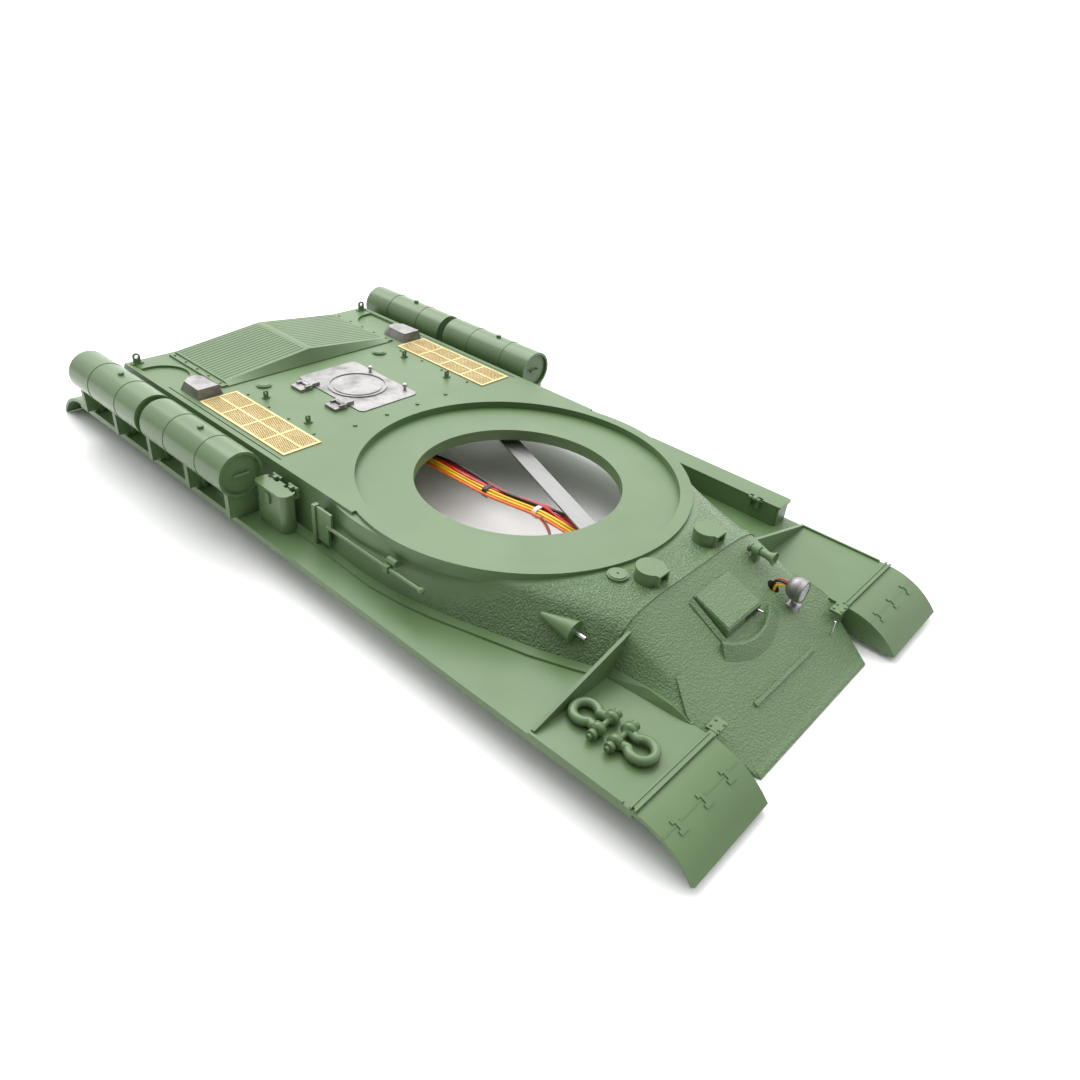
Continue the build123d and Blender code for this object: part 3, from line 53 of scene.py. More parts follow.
# Shader maths.
class Signal:
    # One shader value; arithmetic on it adds Math nodes.

    def __init__(self, tree, socket):
        self.tree = tree
        self.socket = socket

    def node(self, kind, inputs=(), **settings):
        # Any node, its inputs filled in order or by name; returns its first output.
        made = self.tree.nodes.new(kind)
        for name, value in settings.items():
            setattr(made, name, value)
        pairs = inputs.items() if isinstance(inputs, dict) else enumerate(inputs)
        for key, value in pairs:
            if isinstance(value, Signal):
                self.tree.links.new(value.socket, made.inputs[key])
            else:
                made.inputs[key].default_value = value
        return Signal(self.tree, made.outputs[0])

    def math(self, operation, *others):
        # One Math node on this value and the others.
        return self.node("ShaderNodeMath", [self, *others], operation=operation)

    def __add__(self, other):
        return self.math("ADD", other)

    def __sub__(self, other):
        return self.math("SUBTRACT", other)

    def __rsub__(self, other):
        return (self * -1.0) + other

    def __mul__(self, other):
        return self.math("MULTIPLY", other)

    __radd__ = __add__
    __rmul__ = __mul__

    def ramp(self, low, high):
        # 0 below low, 1 above high, smooth between.
        return self.node("ShaderNodeMapRange", {0: self, 1: low, 2: high, 3: 0.0, 4: 1.0},
                         interpolation_type="SMOOTHSTEP")

    def mixColor(self, a, b):
        # Colour a where this is 0, colour b where it is 1.
        made = self.tree.nodes.new("ShaderNodeMix")
        made.data_type = "RGBA"
        self.tree.links.new(self.socket, made.inputs[0])
        for slotNumber, value in ((6, a), (7, b)):
            if isinstance(value, Signal):
                self.tree.links.new(value.socket, made.inputs[slotNumber])
            else:
                made.inputs[slotNumber].default_value = (*value, 1.0)
        return Signal(self.tree, made.outputs[2])


def material(name, build, **fixed):
    # A Principled material; build(place, x, y, z) returns the inputs that vary over it.
    made = bpy.data.materials.new(name)
    made.use_nodes = True
    tree = made.node_tree
    shader = tree.nodes["Principled BSDF"]
    coords = tree.nodes.new("ShaderNodeTexCoord")
    place = Signal(tree, coords.outputs["Object"])
    split = tree.nodes.new("ShaderNodeSeparateXYZ")
    tree.links.new(place.socket, split.inputs[0])
    x, y, z = (Signal(tree, split.outputs[k]) for k in range(3))
    for key, value in fixed.items():
        shader.inputs[key.replace("_", " ")].default_value = value
    for key, value in build(place, x, y, z).items():
        tree.links.new(value.socket, shader.inputs[key])
    return made


def noise(place, scale, detail=3.0, rough=0.5):
    # Smooth random value about 0.5, scale cells a metre.
    return place.node("ShaderNodeTexNoise", {"Vector": place, "Scale": scale, "Detail": detail,
                                             "Roughness": rough})


def bump(height, strength, distance):
    # Normal from a height; distance in metres.
    return height.node("ShaderNodeBump", {"Strength": strength, "Distance": distance,
                                          "Height": height})


greenLook = dict(base=(0.098, 0.165, 0.066), pale=(0.112, 0.184, 0.078),
                 castPale=(0.13, 0.20, 0.10), rough=0.30, grainScale=1150.0, lumpScale=480.0,
                 ringEdge=(0.0775, 0.0815), frontFade=(0.004, 0.050))


def greenBuild(castHull, gloss=0.0):
    # Moulded green; the hull adds cast grain outside the ring and in front of its centre.
    def build(place, x, y, z):
        cloud = noise(place, 22.0, 3.0).ramp(0.35, 0.68)
        fine = noise(place, 2600.0, 2.0)
        color = cloud.mixColor(greenLook["base"], greenLook["pale"])
        rough = noise(place, 60.0, 4.0) * 0.14 + (greenLook["rough"] - gloss)
        height = fine * 0.10
        if castHull:
            yRing = y - float(ringAt[1] * mm)
            radius = (x * x + yRing * yRing).math("SQRT")
            outside = radius.ramp(*greenLook["ringEdge"])
            front = (yRing * -1.0).ramp(*greenLook["frontFade"])
            cast = outside * front
            grain = noise(place, greenLook["grainScale"], 2.0, 0.5).ramp(0.34, 0.66)
            lumps = noise(place, greenLook["lumpScale"], 2.0)
            shoulder = (yRing + 0.094).ramp(-0.004, 0.004) * 0.9 + 0.75
            height = height + cast * shoulder * (grain * 1.3 + lumps * 1.2)
            color = (cast * grain * 0.5).mixColor(color, greenLook["castPale"])
            rough = rough - cast * 0.12
        return {"Base Color": color, "Roughness": rough, "Normal": bump(height, 0.9, 0.00018)}
    return build


def castMetalBuild(place, x, y, z):
    # Grey metal: soft stains, and grain in the bump.
    stain = noise(place, 110.0, 5.0, 0.6).ramp(0.36, 0.74)
    grain = noise(place, 1400.0, 3.0, 0.6)
    color = stain.mixColor((0.34, 0.335, 0.33), (0.19, 0.185, 0.18))
    return {"Base Color": color, "Roughness": stain * 0.14 + 0.36,
            "Normal": bump(grain * 0.8 + noise(place, 380.0, 3.0), 0.55, 0.00010)}


def brassBuild(place, x, y, z):
    # Two brass tones in soft clouds.
    tone = noise(place, 90.0, 3.0).ramp(0.35, 0.7)
    return {"Base Color": tone.mixColor((0.62, 0.47, 0.20), (0.70, 0.56, 0.28)),
            "Roughness": noise(place, 700.0, 2.0) * 0.16 + 0.32,
            "Normal": bump(noise(place, 3000.0, 2.0), 0.3, 0.00004)}


def brushedBuild(light, dark, low, high):
    # Fine streaks: noise stretched along y.
    def build(place, x, y, z):
        lines = place.node("ShaderNodeMapping", {"Vector": place, "Scale": (2600.0, 90.0, 900.0)})
        streak = noise(lines, 1.0, 3.0).ramp(0.3, 0.7)
        return {"Base Color": streak.mixColor(dark, light), "Roughness": streak * high + low,
                "Normal": bump(streak, 0.25, 0.00003)}
    return build


def plasticBuild(color, dark, low):
    # Two close tones in clouds, slightly uneven gloss.
    def build(place, x, y, z):
        cloud = noise(place, 260.0, 3.0).ramp(0.3, 0.7)
        return {"Base Color": cloud.mixColor(color, dark),
                "Roughness": noise(place, 900.0, 2.0) * 0.12 + low,
                "Normal": bump(noise(place, 1500.0, 2.0), 0.25, 0.00005)}
    return build


def lensBuild(place, x, y, z):
    # Pressed glass: upright flutes, with a fine ring pattern.
    flutes = (x * 5200.0).math("SINE")
    rings = (z * 1700.0).math("SINE")
    cloud = noise(place, 500.0, 2.0).ramp(0.4, 0.6)
    return {"Base Color": cloud.mixColor((0.80, 0.81, 0.82), (0.66, 0.65, 0.66)),
            "Roughness": cloud * 0.1 + 0.12,
            "Normal": bump(flutes + rings * 0.4, 0.8, 0.00012)}


looks = {
    "greenHull": material("greenHull", greenBuild(True), IOR=1.46),
    "green": material("greenSmooth", greenBuild(False), IOR=1.46),
    "greenGloss": material("greenGloss", greenBuild(False, 0.12), IOR=1.5),
    "castMetal": material("castMetal", castMetalBuild, Metallic=0.85),
    "brass": material("etchedBrass", brassBuild, Metallic=0.35),
    "steel": material("brightSteel", brushedBuild((0.68, 0.68, 0.67), (0.45, 0.45, 0.45), 0.20,
                                                  0.18), Metallic=1.0),
    "aluminium": material("bareAluminium", brushedBuild((0.30, 0.30, 0.29), (0.22, 0.22, 0.22),
                                                        0.38, 0.16), Metallic=0.8),
    "lens": material("pressedLens", lensBuild, Metallic=0.35, Coat_Weight=0.6),
    "blackPlastic": material("blackPlastic", plasticBuild((0.022, 0.022, 0.024),
                                                          (0.012, 0.012, 0.013), 0.38)),
    "whitePlastic": material("whitePlastic", plasticBuild((0.80, 0.80, 0.78), (0.70, 0.70, 0.68),
                                                          0.40)),
    "red": material("redInsulation", plasticBuild((0.62, 0.018, 0.014), (0.45, 0.010, 0.010),
                                                  0.25)),
    "yellow": material("yellowInsulation", plasticBuild((0.86, 0.56, 0.018), (0.78, 0.46, 0.012),
                                                        0.25)),
    # Black insulation for the black lead; the same material also paints the shade of the visor's
    # slit.
    "black": material("blackInsulationAndSlitShade", plasticBuild((0.018, 0.016, 0.016), (0.010, 0.009, 0.009),
                                                      0.25)),
    "orange": material("orangeInsulation", plasticBuild((0.80, 0.17, 0.012), (0.66, 0.12, 0.010),
                                                        0.25)),
    "brown": material("brownInsulation", plasticBuild((0.13, 0.016, 0.012), (0.08, 0.010, 0.008),
                                                      0.25)),
}
slotLook = {
    "green_paint": "green", "cast_metal": "castMetal", "etched_brass": "brass",
    "bright_steel": "steel", "bare_aluminium": "aluminium", "lens": "lens",
    "black_plastic": "blackPlastic", "white_plastic": "whitePlastic", "red_insulation": "red",
    "yellow_insulation": "yellow", "black_insulation": "black", "orange_insulation": "orange",
    "brown_insulation": "brown",
}
for part in frame["record"]["subparts"]:
    cad = nodes[part["node"]]
    castNode = part["node"] in ("hull_shell", "driver_visor")
    glossy = part["node"] in ("left_drums", "right_drums", "right_box", "right_box_lid", "shovel")
    look = slotLook[part["material_slot"]]
    look = "greenHull" if castNode else "greenGloss" if glossy else look
    if not cad.material_slots:
        cad.data.materials.append(None)
    for place in cad.material_slots:
        place.link = "OBJECT"
        place.material = looks[look]
print("stage: materials")


# Helpers for pieces.
def makePiece(name, points, faces, look, body="hull", slotName="green_paint", smooth=False):
    # A mesh from points in millimetres about the ring centre.
    mesh = bpy.data.meshes.new(name)
    mesh.from_pydata(rowPoints(points).tolist(), [], [tuple(int(i) for i in f) for f in faces])
    mesh.update()
    mesh.polygons.foreach_set("use_smooth", [smooth] * len(mesh.polygons))
    mesh.materials.append(looks[look])
    piece = bpy.data.objects.new(name, mesh)
    bpy.context.scene.collection.objects.link(piece)
    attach(piece, body)
    return piece


# Corner numbers of a box, counted by x, then y, then z.
cubeFaces = np.array([(0, 2, 3, 1), (4, 5, 7, 6), (0, 1, 5, 4), (2, 6, 7, 3), (0, 4, 6, 2),
                      (1, 3, 7, 5)])


def boxes(bounds):
    # Closed boxes from rows of x0, x1, y0, y1, z0, z1.
    bounds = np.asarray(bounds, float)
    picks = np.array([(a, b, c) for a in (0, 1) for b in (2, 3) for c in (4, 5)])
    points = bounds[:, picks].reshape(-1, 3)
    faces = (cubeFaces[None] + 8 * np.arange(len(bounds))[:, None, None]).reshape(-1, 4)
    return points, faces


def sheetFaces(rows, columns, wrap=False):
    # Quads of a grid of points, rows by columns; wrap joins the last column to the first.
    r = np.arange(rows - 1)[:, None]
    c = np.arange(columns if wrap else columns - 1)[None, :]
    nextC = (c + 1) % columns
    quads = np.stack([r * columns + c, r * columns + nextC, (r + 1) * columns + nextC,
                      (r + 1) * columns + c], -1)
    return quads.reshape(-1, 4)


def closedRows(points, turned=False):
    # Rows of corner points made a closed shell: quads between rows, and a cap at each end.
    # turned reverses the order of each face's corners.
    rows, count = points.shape[:2]
    faces = [tuple(f) for f in sheetFaces(rows, count, wrap=True)]
    faces.append(tuple(range(count))[::-1])
    faces.append(tuple((rows - 1) * count + np.arange(count)))
    if turned:
        faces = [f[::-1] for f in faces]
    return points.reshape(-1, 3), faces


def sweep(path, profile):
    # A closed profile of (side, up) pairs carried along a path, with its ends closed.
    path = np.asarray(path, float)
    profile = np.asarray(profile, float)
    along = np.gradient(path, axis=0)
    along /= np.linalg.norm(along, axis=1)[:, None]
    side = np.cross(along, np.broadcast_to((0.0, 0.0, 1.0), along.shape))
    side /= np.linalg.norm(side, axis=1)[:, None]
    top = np.cross(side, along)
    rings = (path[:, None] + side[:, None] * profile[None, :, :1] + top[:, None]
             * profile[None, :, 1:])
    return closedRows(rings)


def roundProfile(radius, count):
    # Circle: radius * cos and radius * sin of evenly spaced turns.
    turn = np.linspace(0, 2 * np.pi, count, endpoint=False)
    return np.stack([radius * np.cos(turn), radius * np.sin(turn)], -1)


def joined(parts):
    # Several (points, faces) as one.
    points, faces, start = [], [], 0
    for p, f in parts:
        points.append(p)
        faces += [tuple(int(i) + start for i in face) for face in f]
        start += len(p)
    return np.concatenate(points), faces


def mirrored(part):
    # The other side: x changes sign, and each face is turned to match.
    points, faces = part
    flipped = points * np.array([-1.0, 1.0, 1.0])
    return flipped, [tuple(f)[::-1] for f in faces]


def bothSides(parts):
    # Pieces and their mirror images as one.
    return joined([*parts, *[mirrored(p) for p in parts]])


def stud(x, y, z, radius, height, count=12):
    # Domed bolt head standing on z.
    turn = np.linspace(0, 2 * np.pi, count, endpoint=False)
    ring = np.stack([np.cos(turn), np.sin(turn), np.zeros(count)], -1)
    levels = [(1.0, 0.0), (1.0, 0.55), (0.8, 0.88), (0.0, 1.0)]
    rows = [np.array([x, y, z]) + ring * radius * r + np.array([0, 0, height * h])
            for r, h in levels]
    faces = [tuple(f) for f in sheetFaces(len(levels), count, wrap=True)]
    faces.append(tuple(range(count))[::-1])
    return np.concatenate(rows), faces


# Brass mesh.
grille = dict(inX=51.0, outX=71.0, frontY=75.0, rearY=144.0, bar=1.2, cells=4, pitch=1.1,
              wire=0.46, low=0.10, high=0.36)


def grilleWires():
    # Wires both ways across each window of the frame.
    g = grille
    midX = (g["inX"] + g["outX"]) / 2
    cell = (g["rearY"] - g["frontY"] - g["bar"]) / g["cells"]
    rows = []
    for x0, x1 in ((g["inX"] + g["bar"], midX - g["bar"] / 2),
                   (midX + g["bar"] / 2, g["outX"] - g["bar"])):
        for k in range(g["cells"]):
            y0 = g["frontY"] + g["bar"] + k * cell
            y1 = y0 + cell - g["bar"]
            for x in np.arange(x0 + g["pitch"] / 2, x1, g["pitch"]):
                rows.append((x, x + g["wire"], y0, y1, g["low"], g["high"]))
            for y in np.arange(y0 + g["pitch"] / 2, y1, g["pitch"]):
                rows.append((x0, x1, y, y + g["wire"], g["low"], g["high"]))
    return boxes(rows)


mesh = makePiece("grilleWires", *bothSides([grilleWires()]), "brass", slotName="etched_brass")
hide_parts("grille_meshes")
print("stage: grilles")

# Ribbed engine cover.
louvre = dict(half=51.0, frontY=155.0, rearY=203.0, footY=151.4, edge=1.6, ridge=7.2, pitch=2.6,
              rib=0.4, border=0.9, strip=2.3, frontLow=0.55, flat=0.62)


def louvreSurface():
    # Peaked roof, edge + (ridge - edge) * (1 - |x| / half), with V grooves every pitch along y.
    lv = louvre
    x = np.concatenate([np.linspace(-lv["half"], 0, 36), np.linspace(0, lv["half"], 36)[1:]])
    x = np.sort(np.concatenate([x, [-lv["strip"], lv["strip"], -lv["strip"] - 0.05,
                                    lv["strip"] + 0.05, lv["half"] - lv["border"],
                                    -lv["half"] + lv["border"]]]))
    y = np.concatenate([np.linspace(lv["footY"], lv["frontY"], 6),
                        np.arange(lv["frontY"] + 0.1, lv["rearY"] - 0.05, 0.1), [lv["rearY"]]])
    gx, gy = np.meshgrid(x, y)
    roof = lv["edge"] + (lv["ridge"] - lv["edge"]) * (1 - np.abs(gx) / lv["half"])
    front = np.clip((gy - lv["footY"]) / (lv["frontY"] - lv["footY"]), 0, 1)
    height = lv["frontLow"] + (roof - lv["frontLow"]) * front
    phase = ((gy - lv["frontY"] - lv["border"]) / lv["pitch"]) % 1.0
    middle, reach = (1 + lv["flat"]) / 2, (1 - lv["flat"]) / 2
    tooth = np.where(phase < lv["flat"], 1.0, np.abs(phase - middle) / reach)
    inside = ((np.abs(gx) > lv["strip"]) & (np.abs(gx) < lv["half"] - lv["border"])
              & (gy > lv["frontY"] + lv["border"]) & (gy < lv["rearY"] - lv["border"]))
    height = height - np.where(inside, lv["rib"] * (1 - tooth), 0.0)
    top = np.stack([gx, gy, height], -1)
    foot = top.copy()
    foot[..., 2] = 0.0
    rows, columns = gx.shape
    points = np.concatenate([top.reshape(-1, 3), foot.reshape(-1, 3)])
    quads = sheetFaces(rows, columns)
    count = rows * columns
    faces = [tuple(q) for q in quads] + [tuple(q[::-1] + count) for q in quads]
    edge = [*range(columns), *[r * columns + columns - 1 for r in range(1, rows)],
            *range(count - 2, count - columns - 1, -1),
            *[r * columns for r in range(rows - 2, 0, -1)]]
    for a, b in zip(edge, edge[1:] + edge[:1]):
        faces.append((b, a, a + count, b + count))
    return points, faces


cover = makePiece("louvreRoof", *louvreSurface(), "green")
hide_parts("louvre_cover")
print("stage: ribbed cover")

# Raised band along the glacis edge.
rim = dict(y=-95.0, width=3.2, flat=22.0, roof=-1.6, shoulder=47.0, shoulderZ=-8.6, foot=54.2,
           footZ=-22.0, proud=0.45, sunk=-0.6, frontStep=0.15, rearStep=0.3, lift=0.25,
           spread=2.2)


def rimProfile(proud):
    # The hull's cross-section at the top of the glacis, pushed outwards by proud.
    r = rim
    lean = (r["shoulder"] - r["foot"]) / (r["shoulderZ"] - r["footZ"])
    knee = r["shoulder"] + lean * (r["roof"] - r["shoulderZ"])
    t = np.linspace(0, 1, 14)[:, None]
    start = np.array([[r["foot"], r["footZ"] + 0.3]])
    a = np.array([r["shoulder"], r["shoulderZ"]])
    b = np.array([knee, r["roof"]])
    c = np.array([r["flat"], r["roof"]])
    curve = (1 - t) ** 2 * a + 2 * t * (1 - t) * b + t * t * c
    half = np.concatenate([start, curve])
    whole = np.concatenate([half, half[::-1] * np.array([-1, 1])])
    along = np.gradient(whole, axis=0)
    out = np.stack([along[:, 1], -along[:, 0]], -1)
    out /= np.linalg.norm(out, axis=1)[:, None]
    return whole + out * proud


def rimBand():
    # Four copies of the section along y: low, proud, proud, low.
    high = rimProfile(rim["proud"])
    low = rimProfile(rim["sunk"])
    rearY = rim["y"] + rim["width"]
    stations = ((rim["y"] + rim["frontStep"], low), (rim["y"], high), (rearY, high),
                (rearY + rim["rearStep"], low))
    rows = []
    for y, outline in stations:
        lift = 0.0 if y < rim["y"] + 1 else rim["lift"]
        rows.append(np.stack([outline[:, 0] + np.sign(outline[:, 0]) * lift * rim["spread"],
                              np.full(len(outline), y), outline[:, 1] + lift], -1))
    return closedRows(np.stack(rows, 1), turned=True)


makePiece("rimBand", *rimBand(), "greenHull")


# Fender ledges, strips and straps.
footLine = np.array([(79.5, 60.0), (79.5, 45.0), (80.8, 0.0), (78.8, -17.0), (75.8, -31.0),
                     (70.8, -48.0), (64.3, -70.0), (58.4, -85.0), (54.6, -93.6)])


ledgeSize = dict(width=4.0, high=0.9)


def ledge():
    # Low step on the fender beside the hull's foot.
    far = footLine + np.array([ledgeSize["width"], 0.0])
    zLow, zHigh = fenderZ, fenderZ + ledgeSize["high"]
    rows = []
    for near, out in zip(footLine, far):
        rows.append([(near[0] - 0.6, near[1], zLow), (near[0] - 0.6, near[1], zHigh),
                     (out[0], out[1], zHigh), (out[0] + 0.25, out[1], zLow)])
    return closedRows(np.array(rows))


strap = dict(seamY=-150.5, places=(60.5, 74.0, 88.0), radius=32.38, top=-22.0, startY=-139.0,
             pads=((2.1, 0.7, 1.9), (0.7, -1.6, 0.8), (-1.6, -3.0, 1.9)), high=0.4,
             seamX=(52.6, 95.6), seamHalf=0.2, seamHigh=0.16)


def onGuard(y, lift=0.0):
    # Point of the front mudguard's curve: circle of the given radius below the fender top.
    run = strap["startY"] - y
    angle = np.arcsin(run / strap["radius"])
    r = strap["radius"] + lift
    return strap["startY"] - r * np.sin(angle), strap["top"] - strap["radius"] + r * np.cos(angle)


def guardPatch(x0, x1, y0, y1, height):
    # A thin plate bent over the mudguard.
    ys = np.linspace(y0, y1, 8)
    rows = []
    for y in ys:
        ya, za = onGuard(y, -0.2)
        yb, zb = onGuard(y, height)
        rows.append([(x0, ya, za), (x0, yb, zb), (x1, yb, zb), (x1, ya, za)])
    return closedRows(np.array(rows), turned=True)


def guardStraps():
    # Hinges across the seam, two pads and a neck each, and the seam itself.
    parts = []
    seam = strap["seamY"]
    for x in strap["places"]:
        for y0, y1, half in strap["pads"]:
            parts.append(guardPatch(x - half, x + half, seam + y0, seam + y1, strap["high"]))
    parts.append(guardPatch(*strap["seamX"], seam + strap["seamHalf"], seam - strap["seamHalf"],
                            strap["seamHigh"]))
    return parts


makePiece("fenderLedges", *bothSides([ledge()]), "green")
makePiece("mudguardStraps", *bothSides(guardStraps()), "green")
strip = dict(inX=51.9, outX=96.0, ridgeY=(-137.9, -139.7), ridgeHalf=0.42, low=-21.6, high=-20.75,
             studX=(45.4, 48.9), studY=(-136.6, -139.9), studZ=-20.9, studR=0.55, studHigh=0.45)
ridges = [(strip["inX"], strip["outX"], y - strip["ridgeHalf"], y + strip["ridgeHalf"],
           strip["low"], strip["high"]) for y in strip["ridgeY"]]
makePiece("stripRidges", *bothSides([boxes(ridges)]), "green")
studs = [stud(x, y, strip["studZ"], strip["studR"], strip["studHigh"])
         for y in strip["studY"] for x in strip["studX"]]
makePiece("stripStuds", *bothSides(studs), "green", smooth=True)
print("stage: fenders")


# Splash guard.
guard = dict(centreY=-94.0, radius=30.6, reach=34.0, topY=-95.0, topZ=-1.6, slope=0.5658,
             section=((-0.5, -0.6), (0.7, 2.9), (1.7, 2.9), (6.4, -0.6)))


def splashBand():
    # Bowed ridge across the glacis: its section rises steeply, then slopes away to the front.
    g = guard
    angles = np.radians(np.linspace(-g["reach"], g["reach"], 40))
    rows = []
    for a in angles:
        out = np.array([np.sin(a), -np.cos(a)])
        line = []
        for reach, lift in g["section"]:
            x, y = out * (g["radius"] + reach) + np.array([0, g["centreY"]])
            z = g["topZ"] + (y - g["topY"]) * g["slope"] + lift
            line.append((x, y, z))
        rows.append(line)
    return closedRows(np.array(rows), turned=True)


def onGlacis(y, lift=0.0):
    # Height of the glacis plane at y, plus a lift.
    return guard["topZ"] + (y - guard["topY"]) * guard["slope"] + lift


def slab(top, depth):
    # A plate from the four corners of its top face, given anticlockwise from above.
    top = np.asarray(top, float)
    low = top - np.array([0, 0, depth])
    faces = [(0, 1, 2, 3), (7, 6, 5, 4)] + [(k, k + 4, (k + 1) % 4 + 4, (k + 1) % 4)
                                            for k in range(4)]
    return np.concatenate([top, low]), faces


cheek = dict(rearY=-131.0, tipY=-155.6, inX=42.0, rearX=51.3, tipX=42.7, proud=0.03, thick=1.0)


def noseCheek():
    # Carries the nose plate out to the mudguard's inner edge.
    c = cheek
    y0, y1 = c["rearY"], c["tipY"]
    z0, z1 = onGlacis(y0, c["proud"]), onGlacis(y1, c["proud"])
    return slab([(c["inX"], y0, z0), (c["inX"], y1, z1), (c["tipX"], y1, z1),
                 (c["rearX"], y0, z0)], c["thick"])


# Rows of y, top edge x, top edge z, foot x.
bevel = dict(inX=50.2, line=((-97.0, 52.2, -19.2, 55.6), (-112.0, 51.9, -18.9, 54.4),
                             (-122.0, 51.9, -19.4, 53.8), (-126.5, 51.9, -20.2, 53.4),
                             (-129.5, 52.0, -21.3, 52.9), (-131.4, 52.0, -21.85, 52.2)))


def footStrip():
    # Narrow polished bevel along the hull's foot, ending in a point.
    inX = bevel["inX"]
    return closedRows(np.array([[(inX, y, z - 0.8), (x + 0.5, y, z), (foot, y, fenderZ + 0.15),
                                 (inX, y, fenderZ)] for y, x, z, foot in bevel["line"]]))


# slot: bounds of a thin black box on the block's front face, painted shade standing in for the
# dark inside of the vision slit.
visor = dict(half=12.3, rearY=-102.2, frontY=-119.0, rearLift=1.1, frontLift=4.1, depth=5.0,
             slot=(1.0, 10.0, -119.15, -118.6, -13.9, -12.1))


def visorBlock():
    # Wedge-topped block: its top lies flatter than the glacis; edges slightly bevelled.
    parts = []
    for grow, lift in ((0.0, 0.0), (-0.5, 0.4)):
        w, yR, yF = visor["half"] + grow, visor["rearY"] + grow, visor["frontY"] - grow
        zR, zF = onGlacis(yR, visor["rearLift"] + lift), onGlacis(yF, visor["frontLift"] + lift)
        parts.append(slab([(-w, yF, zF), (w, yF, zF), (w, yR, zR), (-w, yR, zR)],
                          visor["depth"]))
    return joined(parts)


sideBar = dict(rearY=-102.9, frontY=-121.2, outX=(-16.2, -15.6), inX=(-13.9, -13.7), outLift=0.5,
               inLift=1.5, depth=2.0)


def visorRim():
    # Low bar beside the visor block, leaving a narrow dark gap.
    b = sideBar
    rear, front = onGlacis(b["rearY"]), onGlacis(b["frontY"])
    return slab([(b["outX"][0], b["rearY"], rear + b["outLift"]),
                 (b["outX"][1], b["frontY"], front + b["outLift"]),
                 (b["inX"][1], b["frontY"], front + b["inLift"]),
                 (b["inX"][0], b["rearY"], rear + b["inLift"])], b["depth"])


band = makePiece("splashBand", *splashBand(), "greenHull")
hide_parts("splash_guard")
makePiece("noseCheeks", *bothSides([noseCheek()]), "greenHull")
makePiece("footStrips", *bothSides([footStrip()]), "green")
block = makePiece("visorBlock", *visorBlock(), "greenHull")
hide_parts("driver_visor")
# Painted shade: a thin black box stands in for the dark inside of the visor's slit.
makePiece("visorSlitShade", *boxes([visor["slot"]]), "black")
makePiece("visorRim", *visorRim(), "greenHull")


def smoothPath(points, count):
    # Even steps along a Catmull-Rom curve through the points.
    p = np.asarray(points, float)
    p = np.concatenate([2 * p[:1] - p[1:2], p, 2 * p[-1:] - p[-2:-1]])
    t = np.linspace(0, len(p) - 3 - 1e-6, count)
    k = t.astype(int)
    u = (t - k)[:, None]
    a, b, c, d = p[k], p[k + 1], p[k + 2], p[k + 3]
    return 0.5 * (2 * b + (c - a) * u + (2 * a - 5 * b + 4 * c - d) * u ** 2
                  + (3 * b - a - 3 * c + d) * u ** 3)


# Middle of the bundle, from the plug to the front of the ring.
bundleLine = ((-2.6, 76.0, -17.6), (-2.3, 58.0, -17.6), (-0.8, 17.5, -18.4), (3.4, -12.5, -17.9),
              (4.0, -34.0, -18.5), (8.5, -52.0, -18.9))


def bundleLead(across, level, wave, turns, phase):
    # One lead along the bundle; wave is how far it wanders across, in turns per length.
    core = smoothPath(bundleLine, 180)
    t = np.linspace(0, 1, len(core))
    sway = wave * np.sin(2 * np.pi * turns * t + phase) * np.clip(8 * t, 0, 1)
    return core + np.stack([across + sway, 0 * t, level + 0.5 * np.abs(sway)], -1)


leadR = 0.68
# Name, colour, offset across, offset up, sway, turns of the sway, its phase.
extraLeads = (("ribbonYellow", "yellow", -2.2, 0.9, 0.0, 0.0, 0.0),
              ("ribbonOrange", "orange", -3.5, 0.3, 0.0, 0.0, 0.0),
              ("ribbonYellowTwo", "yellow", -1.0, 1.6, 0.15, 3.0, 0.4),
              ("looseRed", "red", 0.9, 1.7, 1.3, 2.2, 0.2),
              ("looseRedTwo", "red", 2.4, 1.0, 1.6, 1.6, 1.6),
              ("looseBlack", "black", 2.0, 2.0, 1.5, 2.6, 2.8),
              ("looseRedThree", "red", 3.6, 0.4, 1.1, 2.0, 3.4))
for name, look, across, level, wave, turns, phase in extraLeads:
    lead = sweep(bundleLead(across, level, wave, turns, phase), roundProfile(leadR, 10))
    makePiece(name, *lead, look, slotName=look + "_insulation", smooth=True)


shackle = dict(x=-76.0, z=-19.75, bow=4.6, reach=8.0, rod=1.75, eyeX=3.7, eyeZ=-19.3,
               eyeHalf=1.2, eyeR=2.668, rearY=-112.0, frontY=-119.4)


def shackleBow(y, way):
    # Round bow behind two eyes: a circle opened at the pin, run out to the eyes.
    turn = np.radians(np.linspace(-52, 232, 44))
    sh = shackle
    bow = np.stack([sh["bow"] * np.cos(turn), sh["reach"] + sh["bow"] * np.sin(turn)], -1)
    legs = np.array([(3.5, -1.4), (3.4, 0.6), (3.1, 2.6)])
    line = np.concatenate([legs, bow, legs[::-1] * np.array([-1, 1])])
    path = smoothPath(np.stack([line[:, 0] + sh["x"], y + way * line[:, 1],
                                np.full(len(line), sh["z"])], -1), 120)
    parts = [sweep(path, roundProfile(sh["rod"], 16))]
    for side in (-1, 1):
        x = sh["x"] + side * sh["eyeX"]
        barrel = [(x + step, y, sh["eyeZ"]) for step in (-sh["eyeHalf"], 0.0, sh["eyeHalf"])]
        parts.append(sweep(barrel, roundProfile(sh["eyeR"], 20)))
    return joined(parts)


bows = makePiece("shackleBows", *joined([shackleBow(shackle["rearY"], 1.0),
                                         shackleBow(shackle["frontY"], -1.0)]),
                 "greenGloss", smooth=True)
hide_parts("tow_shackles")
print("stage: leads and shackles")

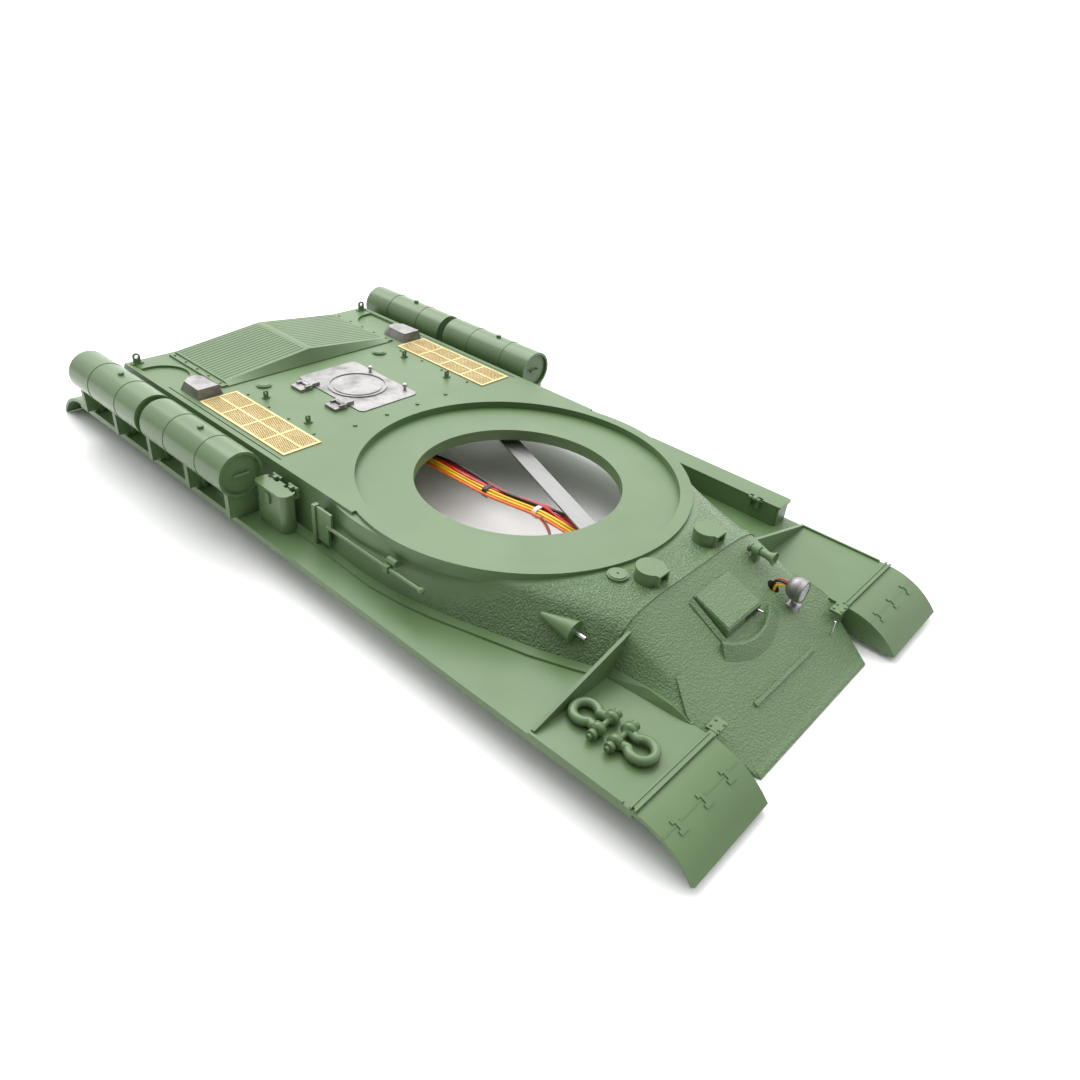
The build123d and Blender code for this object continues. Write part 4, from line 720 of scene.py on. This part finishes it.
# Camera, light, floor.
view = dict(at=(-0.2500, -0.2584, 0.2220), lens=28.27, right=(0.6668, -0.7404, 0.0848),
            down=(-0.3672, -0.4254, -0.8273), ahead=(0.6485, 0.5205, -0.5556))
camera = bpy.data.objects.new("camera", bpy.data.cameras.new("camera"))
bpy.context.scene.collection.objects.link(camera)
camera.data.lens = view["lens"]
camera.data.sensor_width = 36.0
camera.data.clip_start = 0.01
axes = Matrix([view["right"], -Vector(view["down"]), -Vector(view["ahead"])]).transposed()
camera.matrix_world = Matrix.Translation(view["at"]) @ axes.to_4x4()
bpy.context.scene.camera = camera


def softbox(name, at, aim, size, power):
    # Rectangular area light that looks from at to aim.
    lamp = bpy.data.lights.new(name, "AREA")
    lamp.shape = "RECTANGLE"
    lamp.size, lamp.size_y = size
    lamp.energy = power
    holder = bpy.data.objects.new(name, lamp)
    bpy.context.scene.collection.objects.link(holder)
    holder.location = at
    holder.rotation_euler = (Vector(aim) - Vector(at)).to_track_quat("-Z", "Y").to_euler()


softbox("skyPanel", (0.35, 0.75, 1.25), (0, 0, 0), (1.6, 1.0), 16.0)
skyLook = dict(bright=(0.52, 0.46, 0.72), spread=(-0.35, 0.95), gain=1.75, least=0.16,
               backdrop=1.3)
world = bpy.data.worlds.new("studio")
world.use_nodes = True
sky = world.node_tree
coords = sky.nodes.new("ShaderNodeTexCoord")
# Sky brightness: dim towards the viewer's side, bright behind and above the object.
ray = Signal(sky, coords.outputs["Generated"])
facing = ray.node("ShaderNodeVectorMath", {0: ray, 1: skyLook["bright"]}, operation="DOT_PRODUCT")
facing = Signal(sky, facing.socket.node.outputs["Value"])
glow = facing.ramp(*skyLook["spread"]) * skyLook["gain"] + skyLook["least"]
seen = Signal(sky, sky.nodes.new("ShaderNodeLightPath").outputs["Is Camera Ray"])
glow = glow + seen * skyLook["backdrop"]
sky.nodes["Background"].inputs["Color"].default_value = (1.0, 1.0, 1.0, 1.0)
sky.links.new(glow.socket, sky.nodes["Background"].inputs["Strength"])
bpy.context.scene.view_settings.view_transform = "Standard"
bpy.context.scene.world = world

floorMesh = bpy.data.meshes.new("floor")
floorMesh.from_pydata([(-4, -4, 0), (4, -4, 0), (4, 4, 0), (-4, 4, 0)], [], [(0, 1, 2, 3)])
floorLook = bpy.data.materials.new("floorWhite")
floorLook.use_nodes = True
floorShader = floorLook.node_tree.nodes["Principled BSDF"]
floorShader.inputs["Base Color"].default_value = (0.93, 0.93, 0.93, 1)
floorShader.inputs["Roughness"].default_value = 0.6
floorMesh.materials.append(floorLook)
floor = bpy.data.objects.new("floor", floorMesh)
bpy.context.scene.collection.objects.link(floor)
print("stage: camera and light")
